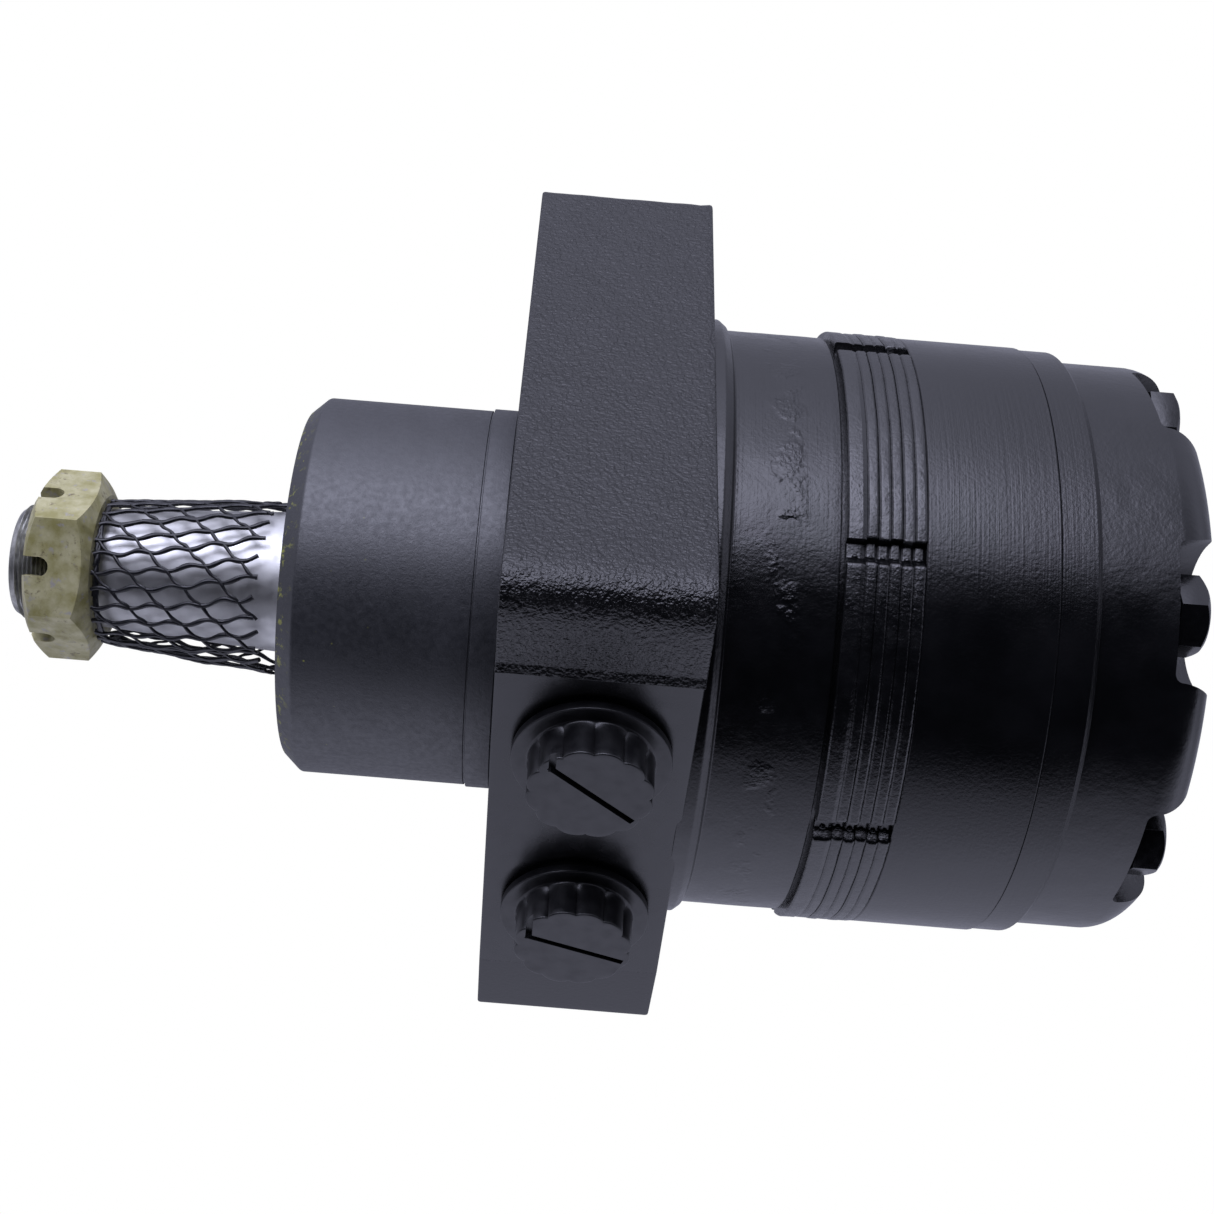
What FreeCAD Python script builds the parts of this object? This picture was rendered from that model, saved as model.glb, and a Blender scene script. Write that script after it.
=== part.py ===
"""Hydraulic motor, roller gerotor type, as a parametric assembly.

X is the shaft axis with the output shaft towards -X, the origin lies on the axis at the
flange's mounting face, +Z is up and -Y is the port face. Millimetres and degrees.
"""

import FreeCAD, Part
import Sketcher
import math
import os
import re

Vector = FreeCAD.Vector
Rotation = FreeCAD.Rotation
Placement = FreeCAD.Placement

# ---------------------------------------------------------------- driving dimensions

DRIVING = {
    # housing: nose, pilot, flange block, barrel
    "nose_front": -46.0,
    "nose_radius": 41.5,
    "nose_bevel": 3.6,
    "pilot_radius": 41.95,
    "pilot_length": 6.3,
    "groove_width": 0.5,
    "block_length": 38.1,
    "block_half": 65.9,
    "block_round": 9.0,
    "back_round": 4.0,
    "pad_half": 45.0,
    "pad_recess": 1.2,
    "draft_drop": 4.2,
    "draft_round": 1.5,
    "collar_radius": 65.2,
    "collar_end": 41.7,
    "barrel_radius": 63.0,
    "barrel_end": 63.9,
    "flange_bolt_circle": 73.8,
    "flange_hole": 6.75,
    # ports and their plugs
    "port_place": 19.05,
    "port_spacing": 23.8,
    "port_radius": 11.1,
    "port_depth": 17.0,
    "gallery_radius": 6.0,
    "plug_flange_radius": 15.2,
    "plug_flange": 2.0,
    "plug_head_radius": 12.0,
    "plug_height": 9.8,
    "plug_stem": 9.0,
    "plug_washer": 0.8,
    # the stack behind the barrel
    "manifold_radius": 64.5,
    "ring_radius": 64.2,
    "balance_radius": 63.8,
    "rim_edge": 0.25,
    "end_plate_end": 67.6,
    "manifold_end": 79.1,
    "lamination_count": 5,
    "ring_end": 104.65,
    "balance_end": 112.8,
    "cover_end": 136.6,
    "cover_radius": 61.8,
    "cover_round": 8.0,
    "seat_place": 127.85,
    "scallop_radius": 15.1,
    "scallop_round": 1.5,
    "notch_width": 3.4,
    "notch_depth": 2.2,
    "notch_turn": -5.9,
    # cover bolts
    "bolt_count": 7,
    "bolt_circle": 54.0,
    "bolt_shank": 4.7,
    "bolt_hole": 5.1,
    "bolt_start": 43.0,
    "bolt_head_flats": 14.29,
    "bolt_head": 6.3,
    # output shaft
    "thread_end": -108.5,
    "thread_radius": 12.7,
    "thread_start": -89.7,
    "taper_small": 13.15,
    "taper_large": 15.875,
    "taper_end": -46.2,
    "seal_land_radius": 19.0,
    "seal_land_end": -28.0,
    "front_journal": 22.0,
    "thrust_flange_radius": 33.0,
    "thrust_flange_half": 3.5,
    "bell_radius": 29.0,
    "bell_end": 58.7,
    "bell_bore": 17.0,
    "bell_spline_start": 3.0,
    "bell_spline_end": 26.0,
    "key_width": 7.94,
    "key_start": -79.0,
    "key_length": 26.0,
    "key_seat": 10.5,
    "key_top": 14.9,
    # castle nut
    "nut_start": -104.0,
    "nut_end": -89.9,
    "nut_flats": 36.5,
    "nut_front_rim": 16.9,
    "nut_rear_rim": 16.2,
    "nut_turn": 40.6,
    "slot_width": 4.2,
    "slot_depth": 5.85,
    # housing bores
    "seal_bore": 27.0,
    "seal_bore_end": -28.5,
    "race_bore": 32.0,
    "race_bore_end": -8.5,
    "middle_bore": 34.5,
    "rear_bore": 39.0,
    "rear_bore_start": 36.0,
    # bearings
    "bearing_roller": 2.97,
    "front_pitch": 25.0,
    "rear_pitch": 32.0,
    "front_rollers_start": -27.0,
    "front_rollers_end": -10.0,
    "rear_rollers_start": 39.5,
    "rear_rollers_end": 54.5,
    "bearing_roller_count": 18,
    "washer": 1.0,
    "needle_radius": 1.45,
    "needle_count": 24,
    # rotor set
    "roller_count": 7,
    "roller_circle": 36.0,
    "roller_radius": 7.0,
    "roller_gap": 0.03,
    "eccentricity": 2.9,
    "rotor_gap": 0.05,
    "side_gap": 0.05,
    "ring_bore": 35.3,
    # splines and drive link
    "spline_count": 12,
    "spline_minor": 12.0,
    "spline_major": 14.0,
    "spline_width": 3.4,
    "link_root": 11.3,
    "link_tip": 13.5,
    "link_tooth": 2.5,
    "link_shank": 9.5,
    "link_front_pivot": 14.0,
    "link_rear_pivot": 92.7,
    "link_half_spline": 9.0,
    "manifold_bore": 15.0,
    "spacer_radius": 11.5,
    "spacer_start": 102.5,
    "spacer_end": 104.5,
    # seals
    "seal_ring_radius": 46.5,
    "seal_ring_width": 2.6,
    "seal_ring_depth": 1.8,
    "lip_radius": 19.04,
    # protective net over the shaft
    "net_start": -89.8,
    "net_end": -47.0,
    "net_front_radius": 16.4,
    "net_rear_radius": 19.1,
    "net_wall": 0.9,
    "net_front_drop": 0.8,
    "net_rear_drop": 1.3,
}

document = FreeCAD.newDocument("hydraulic_motor")
sheet = document.addObject("Spreadsheet::Sheet", "Dims")
for row, (alias, value) in enumerate(DRIVING.items(), 1):
    sheet.set("A%d" % row, alias)
    sheet.set("B%d" % row, str(value))
    sheet.setAlias("B%d" % row, alias)
document.recompute()


def bound(expression):
    """The expression with each alias read from the sheet."""
    return re.sub(r"[a-z_]{3,}", lambda word: name_in_sheet(word.group(0)), expression)


def name_in_sheet(word):
    return "Dims." + word if word in DRIVING else word


def size(expression):
    """The value of an expression of aliases."""
    return float(sheet.evalExpression(expression))


def bind(feature, **sizes):
    for prop, expression in sizes.items():
        feature.setExpression(prop, bound(expression))


# ---------------------------------------------------------------- modelling helpers

ALONG_X = Rotation(Vector(0, 1, 0), 90)
pieces = []


def new_body(label):
    body = document.addObject("PartDesign::Body", label)
    body.Label = label
    pieces.append(body)
    return body


def origin_part(body, role):
    return [part for part in body.Origin.OriginFeatures if part.Role == role][0]


def outline_sketch(body, role, outline):
    """A closed outline of straight lines whose corners are bound to the sheet."""
    sketch = body.newObject("Sketcher::SketchObject", "outline")
    sketch.AttachmentSupport = [(origin_part(body, role), "")]
    sketch.MapMode = "FlatFace"
    corners = [Vector(size(a), size(b), 0) for a, b in outline]
    count = len(corners)
    for index, corner in enumerate(corners):
        following = corners[(index + 1) % count]
        sketch.addGeometry(Part.LineSegment(corner, following))
    for index in range(count):
        following = (index + 1) % count
        sketch.addConstraint(Sketcher.Constraint("Coincident", index, 2, following, 1))
    for index, (corner, names) in enumerate(zip(corners, outline)):
        hold_corner(sketch, index, "DistanceX", corner.x, names[0], -2)
        hold_corner(sketch, index, "DistanceY", corner.y, names[1], -1)
    return sketch


def hold_corner(sketch, index, kind, value, expression, axis):
    if abs(value) < 1e-9:
        sketch.addConstraint(Sketcher.Constraint("PointOnObject", index, 1, axis))
        return
    held = sketch.addConstraint(Sketcher.Constraint(kind, -1, 1, index, 1, value))
    sketch.setExpression("Constraints[%d]" % held, bound(expression))


def turn(body, outline, kind="PartDesign::Revolution"):
    """Revolves an outline of (x, radius) corners about the shaft axis."""
    sketch = outline_sketch(body, "XY_Plane", outline)
    feature = body.newObject(kind, "turned")
    feature.Profile = sketch
    feature.ReferenceAxis = (sketch, ["H_Axis"])
    feature.Angle = 360
    return feature


def ring_outline(start, end, inner, outer):
    return [(start, inner), (start, outer), (end, outer), (end, inner)]


def ring(label, start, end, inner, outer):
    body = new_body(label)
    turn(body, ring_outline(start, end, inner, outer))
    return body


def cylinder(body, kind, start, end, radius, turn_deg="0", out="0"):
    """A cylinder along X, out from the axis at an angle from +Y towards +Z."""
    feature = body.newObject("PartDesign::%sCylinder" % kind, "bore")
    bind(feature, Radius=radius, Height="(%s) - (%s)" % (end, start))
    angle = math.radians(size(turn_deg))
    reach = size(out)
    place = Vector(size(start), reach * math.cos(angle), reach * math.sin(angle))
    feature.Placement = Placement(place, ALONG_X)
    feature.setExpression("Placement.Base.x", bound(start))
    feature.setExpression("Placement.Base.y", bound("(%s) * cos(%s)" % (out, turn_deg)))
    feature.setExpression("Placement.Base.z", bound("(%s) * sin(%s)" % (out, turn_deg)))
    return feature


def block(body, kind, start, end, inner, outer, width):
    """A box along X that stands out from the axis towards +Y."""
    feature = body.newObject("PartDesign::%sBox" % kind, "bar")
    bind(feature, Length="(%s) - (%s)" % (end, start))
    bind(feature, Width="(%s) - (%s)" % (outer, inner), Height=width)
    feature.setExpression("Placement.Base.x", bound(start))
    feature.setExpression("Placement.Base.y", bound(inner))
    feature.setExpression("Placement.Base.z", bound("-(%s) / 2" % width))
    return feature


def around(body, features, count):
    """Repeats features evenly about the shaft axis."""
    document.recompute()
    pattern = body.newObject("PartDesign::PolarPattern", "around")
    pattern.Originals = features
    pattern.Axis = (origin_part(body, "X_Axis"), [""])
    pattern.Angle = 360
    bind(pattern, Occurrences=count)
    body.Tip = pattern
    return pattern


def edges_where(shape, test):
    return ["Edge%d" % number for number, edge in enumerate(shape.Edges, 1) if test(edge)]


def dress(body, kind, amount, test):
    """Fillets or chamfers the edges of the body's tip that pass the test."""
    document.recompute()
    tip = body.Tip
    feature = body.newObject("PartDesign::" + kind, kind.lower())
    feature.Base = (tip, edges_where(tip.Shape, test))
    bind(feature, **{"Radius" if kind == "Fillet" else "Size": amount})
    return feature


def on_plane(edge, x):
    return edge.BoundBox.XLength < 1e-4 and abs(edge.BoundBox.XMin - x) < 1e-4


def circle_at(x, radius):
    """A test for full circles about the shaft axis at one place."""

    def test(edge):
        box = edge.BoundBox
        return on_plane(edge, x) and abs(box.YLength - 2 * radius) < 1e-3

    return test


def group(label, shapes):
    """Separate equal pieces that share one node."""
    feature = document.addObject("Part::Feature", label)
    feature.Label = label
    feature.Shape = Part.makeCompound(shapes)
    pieces.append(feature)
    return feature


def copies_around(shape, count):
    turned = []
    for index in range(int(count)):
        copy = shape.copy()
        copy.rotate(Vector(0, 0, 0), Vector(1, 0, 0), index * 360.0 / count)
        turned.append(copy)
    return turned


def solid_cylinder(start, end, radius, out=0.0, turn_deg=0.0):
    angle = math.radians(turn_deg)
    place = Vector(start, out * math.cos(angle), out * math.sin(angle))
    return Part.makeCylinder(radius, end - start, place, Vector(1, 0, 0))


# ---------------------------------------------------------------- housing


def bolt_holes(body, start, end, radius):
    """Seven holes for the cover bolts; the first points to -Y."""
    hole = cylinder(body, "Subtractive", start, end, radius, "180", "bolt_circle")
    around(body, [hole], "bolt_count")


def seal_groove(body, face):
    """A face groove for a square-cut ring, open towards +X at the given face."""
    inner = "seal_ring_radius - seal_ring_width / 2"
    outer = "seal_ring_radius + seal_ring_width / 2"
    floor = "%s - seal_ring_depth" % face
    turn(body, ring_outline(floor, face, inner, outer), "PartDesign::Groove")


def make_housing():
    body = new_body("housing")
    section = outline_sketch(
        body,
        "YZ_Plane",
        [
            ("-block_half", "block_half"),
            ("-block_half", "pad_half"),
            ("-block_half + pad_recess", "pad_half"),
            ("-block_half + pad_recess", "-pad_half"),
            ("-block_half + draft_drop", "-block_half"),
            ("block_half", "-block_half"),
            ("block_half", "block_half"),
        ],
    )
    flange = body.newObject("PartDesign::Pad", "flange_block")
    flange.Profile = section
    bind(flange, Length="block_length")

    half = size("block_half")
    drop = size("draft_drop")
    dress(body, "Fillet", "block_round", lambda edge: along_corner(edge, -half, half))
    dress(body, "Fillet", "back_round", lambda edge: along_corner(edge, half, half))
    dress(body, "Fillet", "draft_round", lambda edge: along_corner(edge, drop - half, half))

    groove_start = "-pilot_length - groove_width"
    turn(
        body,
        [
            ("nose_front", "0"),
            ("nose_front", "nose_radius - nose_bevel * 0.9"),
            ("nose_front + nose_bevel", "nose_radius"),
            (groove_start, "nose_radius"),
            (groove_start, "nose_radius - groove_width / 2"),
            ("-pilot_length", "nose_radius - groove_width / 2"),
            ("-pilot_length", "pilot_radius"),
            ("block_length / 2", "pilot_radius"),
            ("block_length / 2", "collar_radius"),
            ("collar_end", "collar_radius"),
            ("collar_end", "barrel_radius"),
            ("barrel_end", "barrel_radius"),
            ("barrel_end", "0"),
        ],
    )
    turn(
        body,
        [
            ("nose_front", "0"),
            ("nose_front", "seal_bore"),
            ("seal_bore_end", "seal_bore"),
            ("seal_bore_end", "race_bore"),
            ("race_bore_end", "race_bore"),
            ("race_bore_end", "middle_bore"),
            ("rear_bore_start", "middle_bore"),
            ("rear_bore_start", "rear_bore"),
            ("barrel_end", "rear_bore"),
            ("barrel_end", "0"),
        ],
        "PartDesign::Groove",
    )
    mounting = cylinder(
        body, "Subtractive", "-1", "block_length + 1", "flange_hole", "45", "flange_bolt_circle"
    )
    around(body, [mounting], "4")
    bolt_holes(body, "bolt_start - 1", "barrel_end", "bolt_shank + 0.06")
    seal_groove(body, "barrel_end")
    for side in ("", "-"):
        for radius, inner in (("port_radius", "block_half - port_depth"), ("gallery_radius", "25")):
            port_bore(body, radius, inner, side + "port_spacing")
    collar = size("collar_radius")
    dress(body, "Fillet", "1.2", circle_at(size("collar_end"), collar))
    return body


def along_corner(edge, y, z):
    """Edges along X at a place in Y and at a distance from the axis in Z."""
    box = edge.BoundBox
    straight = box.XLength > 1 and box.YLength < 1e-4 and box.ZLength < 1e-4
    return straight and abs(abs(box.ZMin) - z) < 1e-3 and abs(box.YMin - y) < 1e-3


def port_bore(body, radius, inner, height):
    """A bore that enters the port face towards +Y."""
    feature = body.newObject("PartDesign::SubtractiveCylinder", "port")
    bind(feature, Radius=radius, Height="block_half + 1 - (%s)" % inner)
    feature.Placement = Placement(Vector(0, 0, 0), Rotation(Vector(1, 0, 0), -90))
    feature.setExpression("Placement.Base.x", bound("port_place"))
    feature.setExpression("Placement.Base.y", bound("-block_half - 1"))
    feature.setExpression("Placement.Base.z", bound(height))


# ---------------------------------------------------------------- the stack and the cover


def make_manifold_end_plate():
    rim = size("manifold_radius")
    body = ring(
        "manifold_end_plate", "barrel_end", "end_plate_end", "manifold_bore", "manifold_radius"
    )
    dress(body, "Chamfer", "rim_edge", circle_at(size("barrel_end"), rim))
    bolt_holes(body, "barrel_end", "end_plate_end", "bolt_hole")
    notches(body, "barrel_end", "end_plate_end")


def notches(body, start, end):
    """Seven narrow notches across the rim."""
    floor = "manifold_radius - notch_depth"
    notch = block(
        body, "Subtractive", start, end, floor, "manifold_radius + 1", "notch_width"
    )
    turn_to = size("180 + notch_turn")
    place = Vector(0, math.cos(math.radians(turn_to)), math.sin(math.radians(turn_to)))
    corner = place * size(floor)
    across = Vector(0, -place.z, place.y) * size("notch_width") / 2
    base = corner - across + Vector(size(start), 0, 0)
    for axis in ("x", "y", "z"):
        notch.setExpression("Placement.Base." + axis, None)
    notch.Placement = Placement(base, Rotation(Vector(1, 0, 0), turn_to))
    around(body, [notch], "bolt_count")


def lamination_outline(start, end):
    edge = 0.35
    return [
        (start, "manifold_bore"),
        (start, "manifold_radius - %g" % edge),
        ("%s + %g" % (start, edge), "manifold_radius"),
        ("%s - %g" % (end, edge), "manifold_radius"),
        (end, "manifold_radius - %g" % edge),
        (end, "manifold_bore"),
    ]


def make_manifold_plates():
    """One lamination, repeated through the manifold's thickness."""
    body = document.addObject("PartDesign::Body", "lamination")
    thickness = "(manifold_end - end_plate_end) / lamination_count"
    end = "end_plate_end + " + thickness
    turn(body, lamination_outline("end_plate_end", end))
    bolt_holes(body, "end_plate_end", end, "bolt_hole")
    notches(body, "end_plate_end", end)
    document.recompute()
    plates = []
    for index in range(int(size("lamination_count"))):
        plate = body.Shape.copy()
        plate.translate(Vector(index * size(thickness), 0, 0))
        plates.append(plate)
    groove = size("seal_ring_depth")
    middle = size("seal_ring_radius")
    half = size("seal_ring_width / 2")
    end_face = size("manifold_end")
    outer = solid_cylinder(end_face - groove, end_face, middle + half)
    inner = solid_cylinder(end_face - groove, end_face, middle - half)
    plates[-1] = plates[-1].cut(outer.cut(inner))
    group("manifold_plates", [plate.Solids[0] for plate in plates])


def make_rotor_ring():
    body = ring("rotor_ring", "manifold_end", "ring_end", "ring_bore", "ring_radius")
    pocket = cylinder(
        body,
        "Subtractive",
        "manifold_end",
        "ring_end",
        "roller_radius + roller_gap",
        "0",
        "roller_circle",
    )
    around(body, [pocket], "roller_count")
    bolt_holes(body, "manifold_end", "ring_end", "bolt_hole")
    seal_groove(body, "ring_end")
    rim = size("ring_radius")
    dress(body, "Chamfer", "rim_edge", circle_at(size("manifold_end"), rim))
    dress(body, "Chamfer", "rim_edge", circle_at(size("ring_end"), rim))


def make_balance_plate():
    body = ring("balance_plate", "ring_end", "balance_end", "8", "balance_radius")
    bolt_holes(body, "ring_end", "balance_end", "bolt_hole")
    seal_groove(body, "balance_end")
    rim = size("balance_radius")
    dress(body, "Chamfer", "rim_edge", circle_at(size("ring_end"), rim))
    dress(body, "Chamfer", "1.2", circle_at(size("balance_end"), rim))


def make_end_cover():
    """A rounded cap with a scalloped, round-walled seat at each bolt."""
    body = document.addObject("PartDesign::Body", "cover_blank")
    turn(
        body,
        [
            ("balance_end", "0"),
            ("balance_end", "cover_radius"),
            ("cover_end", "cover_radius"),
            ("cover_end", "0"),
        ],
    )
    dress(body, "Fillet", "cover_round", circle_at(size("cover_end"), size("cover_radius")))
    bolt_holes(body, "balance_end", "cover_end + 1", "bolt_hole")
    document.recompute()
    seat = size("seat_place")
    cutter = solid_cylinder(seat, size("cover_end") + 1, size("scallop_radius"))
    floor_edge = [edge for edge in cutter.Edges if on_plane(edge, seat)]
    cutter = cutter.makeFillet(size("scallop_round"), floor_edge)
    cutter.translate(Vector(0, -size("bolt_circle"), 0))
    cover = body.Shape.cut(copies_around(cutter, size("bolt_count")))
    feature = document.addObject("Part::Feature", "end_cover")
    feature.Label = "end_cover"
    feature.Shape = cover.Solids[0]
    pieces.append(feature)


def hexagon(start, end, flats, out, turn_deg):
    """A hexagonal prism along X."""
    corner = flats / math.sqrt(3.0)
    angle = math.radians(turn_deg)
    middle = Vector(start, out * math.cos(angle), out * math.sin(angle))
    corners = []
    for index in range(6):
        bearing = angle + math.radians(60 * index + 30)
        corners.append(middle + Vector(0, math.cos(bearing), math.sin(bearing)) * corner)
    face = Part.Face(Part.makePolygon(corners + corners[:1]))
    return face.extrude(Vector(end - start, 0, 0))


def make_cover_bolts():
    """Hex bolts with a washer face and a domed chamfer, through the whole stack."""
    seat = size("seat_place")
    top = seat + size("bolt_head")
    flats = size("bolt_head_flats")
    out = size("bolt_circle")
    washer = 0.4
    head = hexagon(seat + washer, top, flats, out, 180)
    middle = Vector(seat, -out, 0)
    corner = flats / math.sqrt(3.0)
    dome = Part.makeCone(corner + size("bolt_head") * 1.9, flats / 2 - 0.3, size("bolt_head"))
    dome.Placement = Placement(middle, ALONG_X)
    head = head.common(dome)
    face = solid_cylinder(seat, seat + washer, flats / 2 - 0.2, out, 180)
    shank = solid_cylinder(size("bolt_start"), seat, size("bolt_shank"), out, 180)
    bolt = head.fuse([face, shank]).removeSplitter()
    group("cover_bolts", copies_around(bolt.Solids[0], size("bolt_count")))


def make_body_seals():
    inner = size("seal_ring_radius - seal_ring_width / 2") + 0.15
    outer = size("seal_ring_radius + seal_ring_width / 2") - 0.15
    rings = []
    for face in ("barrel_end", "manifold_end", "ring_end", "balance_end"):
        start = size(face) - size("seal_ring_depth")
        rim = solid_cylinder(start, size(face), outer)
        rings.append(rim.cut(solid_cylinder(start, size(face), inner)))
    group("body_seals", rings)


# ---------------------------------------------------------------- seals and bearings


def make_nose_seals():
    front = "nose_front"
    ring("dust_seal", front + " + 0.3", front + " + 3.3", "lip_radius", "seal_bore")
    ring("seal_snap_ring", front + " + 3.5", front + " + 5", "22", "seal_bore")
    ring("seal_backup_washer", front + " + 5.2", front + " + 6.4", "20", "seal_bore")
    body = ring("shaft_seal", front + " + 6.6", front + " + 14.6", "lip_radius", "seal_bore")
    channel = ring_outline(front + " + 8.6", front + " + 14.6", "21", "25")
    turn(body, channel, "PartDesign::Groove")


def make_bearing(name, pitch, start, end):
    """A race, a cage with windows and the rollers in it."""
    count = size("bearing_roller_count")
    middle = size(pitch)
    first = size(start)
    last = size(end)
    roller = solid_cylinder(first, last, size("bearing_roller"), middle)
    group(name + "_bearing_rollers", copies_around(roller, count))
    cage = ring(
        name + "_bearing_cage", start + " - 0.9", end + " + 0.9", pitch + " - 0.9", pitch + " + 0.9"
    )
    window = cylinder(
        cage, "Subtractive", start + " - 0.1", end + " + 0.1", "bearing_roller + 0.12", "0", pitch
    )
    around(cage, [window], "bearing_roller_count")


def make_races():
    front = ("seal_bore_end + 0.3", "race_bore_end - 0.1", "front_pitch + 3", "race_bore")
    rear = ("rear_bore_start + 1", "bell_end - 1", "rear_pitch + 3", "rear_bore")
    ring("front_bearing_race", *front)
    ring("rear_bearing_race", *rear)


def make_thrust(name, washer_start, needles_start, runner_start, inner, outer):
    """A fixed washer, a needle cage and a washer that runs with the shaft."""
    ring(name + "_thrust_washer", washer_start, washer_start + " + washer", inner, outer)
    ring(name + "_thrust_runner", runner_start, runner_start + " + washer", inner, outer)
    radius = size("needle_radius")
    near = size(inner) + 1.2
    far = size(outer) - 1.2
    middle = size(needles_start) + radius + 0.025
    needle = Part.makeCylinder(radius, far - near, Vector(middle, near, 0), Vector(0, 1, 0))
    bar = solid_cylinder(middle - 0.5, middle + 0.5, size(outer) - 0.2)
    bar = bar.cut(solid_cylinder(middle - 0.5, middle + 0.5, size(inner) + 0.2))
    needles = copies_around(needle, size("needle_count"))
    cage = bar.cut(Part.makeCompound(needles))
    group(name + "_thrust_needles", needles)
    group(name + "_thrust_cage", cage.Solids)


# ---------------------------------------------------------------- shaft and what turns with it


def spline_slots(body, start, end):
    """Straight-sided slots of an internal spline."""
    slot = block(body, "Subtractive", start, end, "spline_minor - 1", "spline_major", "spline_width")
    around(body, [slot], "spline_count")


def make_output_shaft():
    body = new_body("output_shaft")
    bevel = "0.9"
    turn(
        body,
        [
            ("thread_end", "0"),
            ("thread_end", "thread_radius - " + bevel),
            ("thread_end + " + bevel, "thread_radius"),
            ("thread_start", "thread_radius"),
            ("thread_start", "taper_small"),
            ("taper_end", "taper_large"),
            ("taper_end", "seal_land_radius"),
            ("seal_land_end", "seal_land_radius"),
            ("seal_land_end", "front_journal"),
            ("-thrust_flange_half", "front_journal"),
            ("-thrust_flange_half", "thrust_flange_radius"),
            ("thrust_flange_half", "thrust_flange_radius"),
            ("thrust_flange_half", "bell_radius"),
            ("bell_end", "bell_radius"),
            ("bell_end", "bell_bore"),
            ("bell_spline_end", "bell_bore"),
            ("bell_spline_end", "spline_minor"),
            ("bell_spline_start", "spline_minor"),
            ("bell_spline_start", "0"),
        ],
    )
    spline_slots(body, "bell_spline_start", "bell_spline_end")
    document.recompute()
    end = "key_start + key_length"
    keyway = block(body, "Subtractive", "key_start", end, "key_seat", "key_top + 4", "key_width")
    body.Tip = keyway


def make_shaft_key():
    key = document.addObject("Part::Box", "shaft_key")
    key.Label = "shaft_key"
    bind(key, Length="key_length", Width="key_top - key_seat", Height="key_width")
    key.setExpression("Placement.Base.x", bound("key_start"))
    key.setExpression("Placement.Base.y", bound("key_seat"))
    key.setExpression("Placement.Base.z", bound("-key_width / 2"))
    pieces.append(key)


def make_castle_nut():
    """Hexagon with both ends chamfered and a round-bottomed slot in each flat."""
    start = size("nut_start")
    end = size("nut_end")
    flats = size("nut_flats")
    corner = flats / math.sqrt(3.0)
    turned = 180 - size("nut_turn")
    nut = hexagon(start, end, flats, 0, turned)
    slope = math.tan(math.radians(30))
    wide = corner + 1
    front_fall = (wide - size("nut_front_rim")) * slope
    rear_fall = (wide - size("nut_rear_rim")) * slope
    crown = Part.makeCone(size("nut_front_rim"), wide, front_fall)
    middle = end - start - front_fall - rear_fall
    body = Part.makeCylinder(wide, middle, Vector(0, 0, front_fall))
    base = Part.makeCone(wide, size("nut_rear_rim"), rear_fall)
    base.translate(Vector(0, 0, front_fall + middle))
    envelope = crown.fuse([body, base])
    envelope.Placement = Placement(Vector(start, 0, 0), ALONG_X)
    nut = nut.common(envelope)
    bore = solid_cylinder(start, end, size("thread_radius") + 0.02)
    radius = size("slot_width / 2")
    floor = start + size("slot_depth")
    cutters = [bore]
    reach = corner + 2
    middle = floor - radius
    slot = Part.makeBox(middle - start + 1, reach, 2 * radius, Vector(start - 1, 0, -radius))
    slot = slot.fuse(Part.makeCylinder(radius, reach, Vector(middle, 0, 0), Vector(0, 1, 0)))
    slot.rotate(Vector(0, 0, 0), Vector(1, 0, 0), turned)
    cutters.extend(copies_around(slot, 6))
    nut = nut.cut(cutters).removeSplitter()
    feature = document.addObject("Part::Feature", "castle_nut")
    feature.Label = "castle_nut"
    feature.Shape = nut.Solids[0]
    pieces.append(feature)


def make_netting_sleeve():
    """A tapered tube that hangs a little below the shaft, on the near side."""
    start = size("net_start")
    length = size("net_end") - start
    hang = Vector(0, -1, -1).normalize()
    front = Vector(start, 0, 0) + hang * size("net_front_drop")
    rear = Vector(start + length, 0, 0) + hang * size("net_rear_drop")
    tube = []
    for inset in (0.0, size("net_wall")):
        rims = []
        for middle, radius in ((front, "net_front_radius"), (rear, "net_rear_radius")):
            circle = Part.Circle(middle, Vector(1, 0, 0), size(radius) - inset)
            rims.append(Part.Wire(circle.toShape()))
        tube.append(Part.makeLoft(rims, True, True))
    feature = document.addObject("Part::Feature", "netting_sleeve")
    feature.Label = "netting_sleeve"
    feature.Shape = tube[0].cut(tube[1]).Solids[0]
    pieces.append(feature)


# ---------------------------------------------------------------- rotor set and drive link


def make_rotor():
    """Six-lobed rotor: the inner offset of the curve that the roller centres follow."""
    circle = size("roller_circle")
    shift = size("eccentricity")
    count = int(size("roller_count"))
    inset = size("roller_radius + rotor_gap")
    points = []
    steps = 24 * (count - 1)
    for step in range(steps):
        angle = 2 * math.pi * step / steps
        along = Vector(0, math.cos(angle), math.sin(angle)) * circle
        wave = Vector(0, math.cos(count * angle), math.sin(count * angle)) * shift
        way = Vector(0, -math.sin(angle), math.cos(angle)) * circle
        sway = Vector(0, -math.sin(count * angle), math.cos(count * angle)) * shift * count
        heading = (way - sway).normalize()
        inward = Vector(0, -heading.z, heading.y)
        points.append(along - wave + inward * inset)
    curve = Part.BSplineCurve()
    curve.interpolate(points, PeriodicFlag=True)
    start = size("manifold_end + side_gap")
    end = size("ring_end - side_gap")
    profile = Part.Face(Part.Wire(curve.toShape()))
    profile.translate(Vector(start, 0, 0))
    rotor = profile.extrude(Vector(end - start, 0, 0))
    bore = solid_cylinder(start, end, size("spline_minor"))
    half = size("spline_width / 2")
    slot = Part.makeBox(end - start, size("spline_major"), 2 * half, Vector(start, 0, -half))
    rotor = rotor.cut([bore] + copies_around(slot, size("spline_count")))
    feature = document.addObject("Part::Feature", "rotor")
    feature.Label = "rotor"
    feature.Shape = rotor.Solids[0]
    feature.Placement = Placement(Vector(0, shift, 0), Rotation())
    pieces.append(feature)


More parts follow.
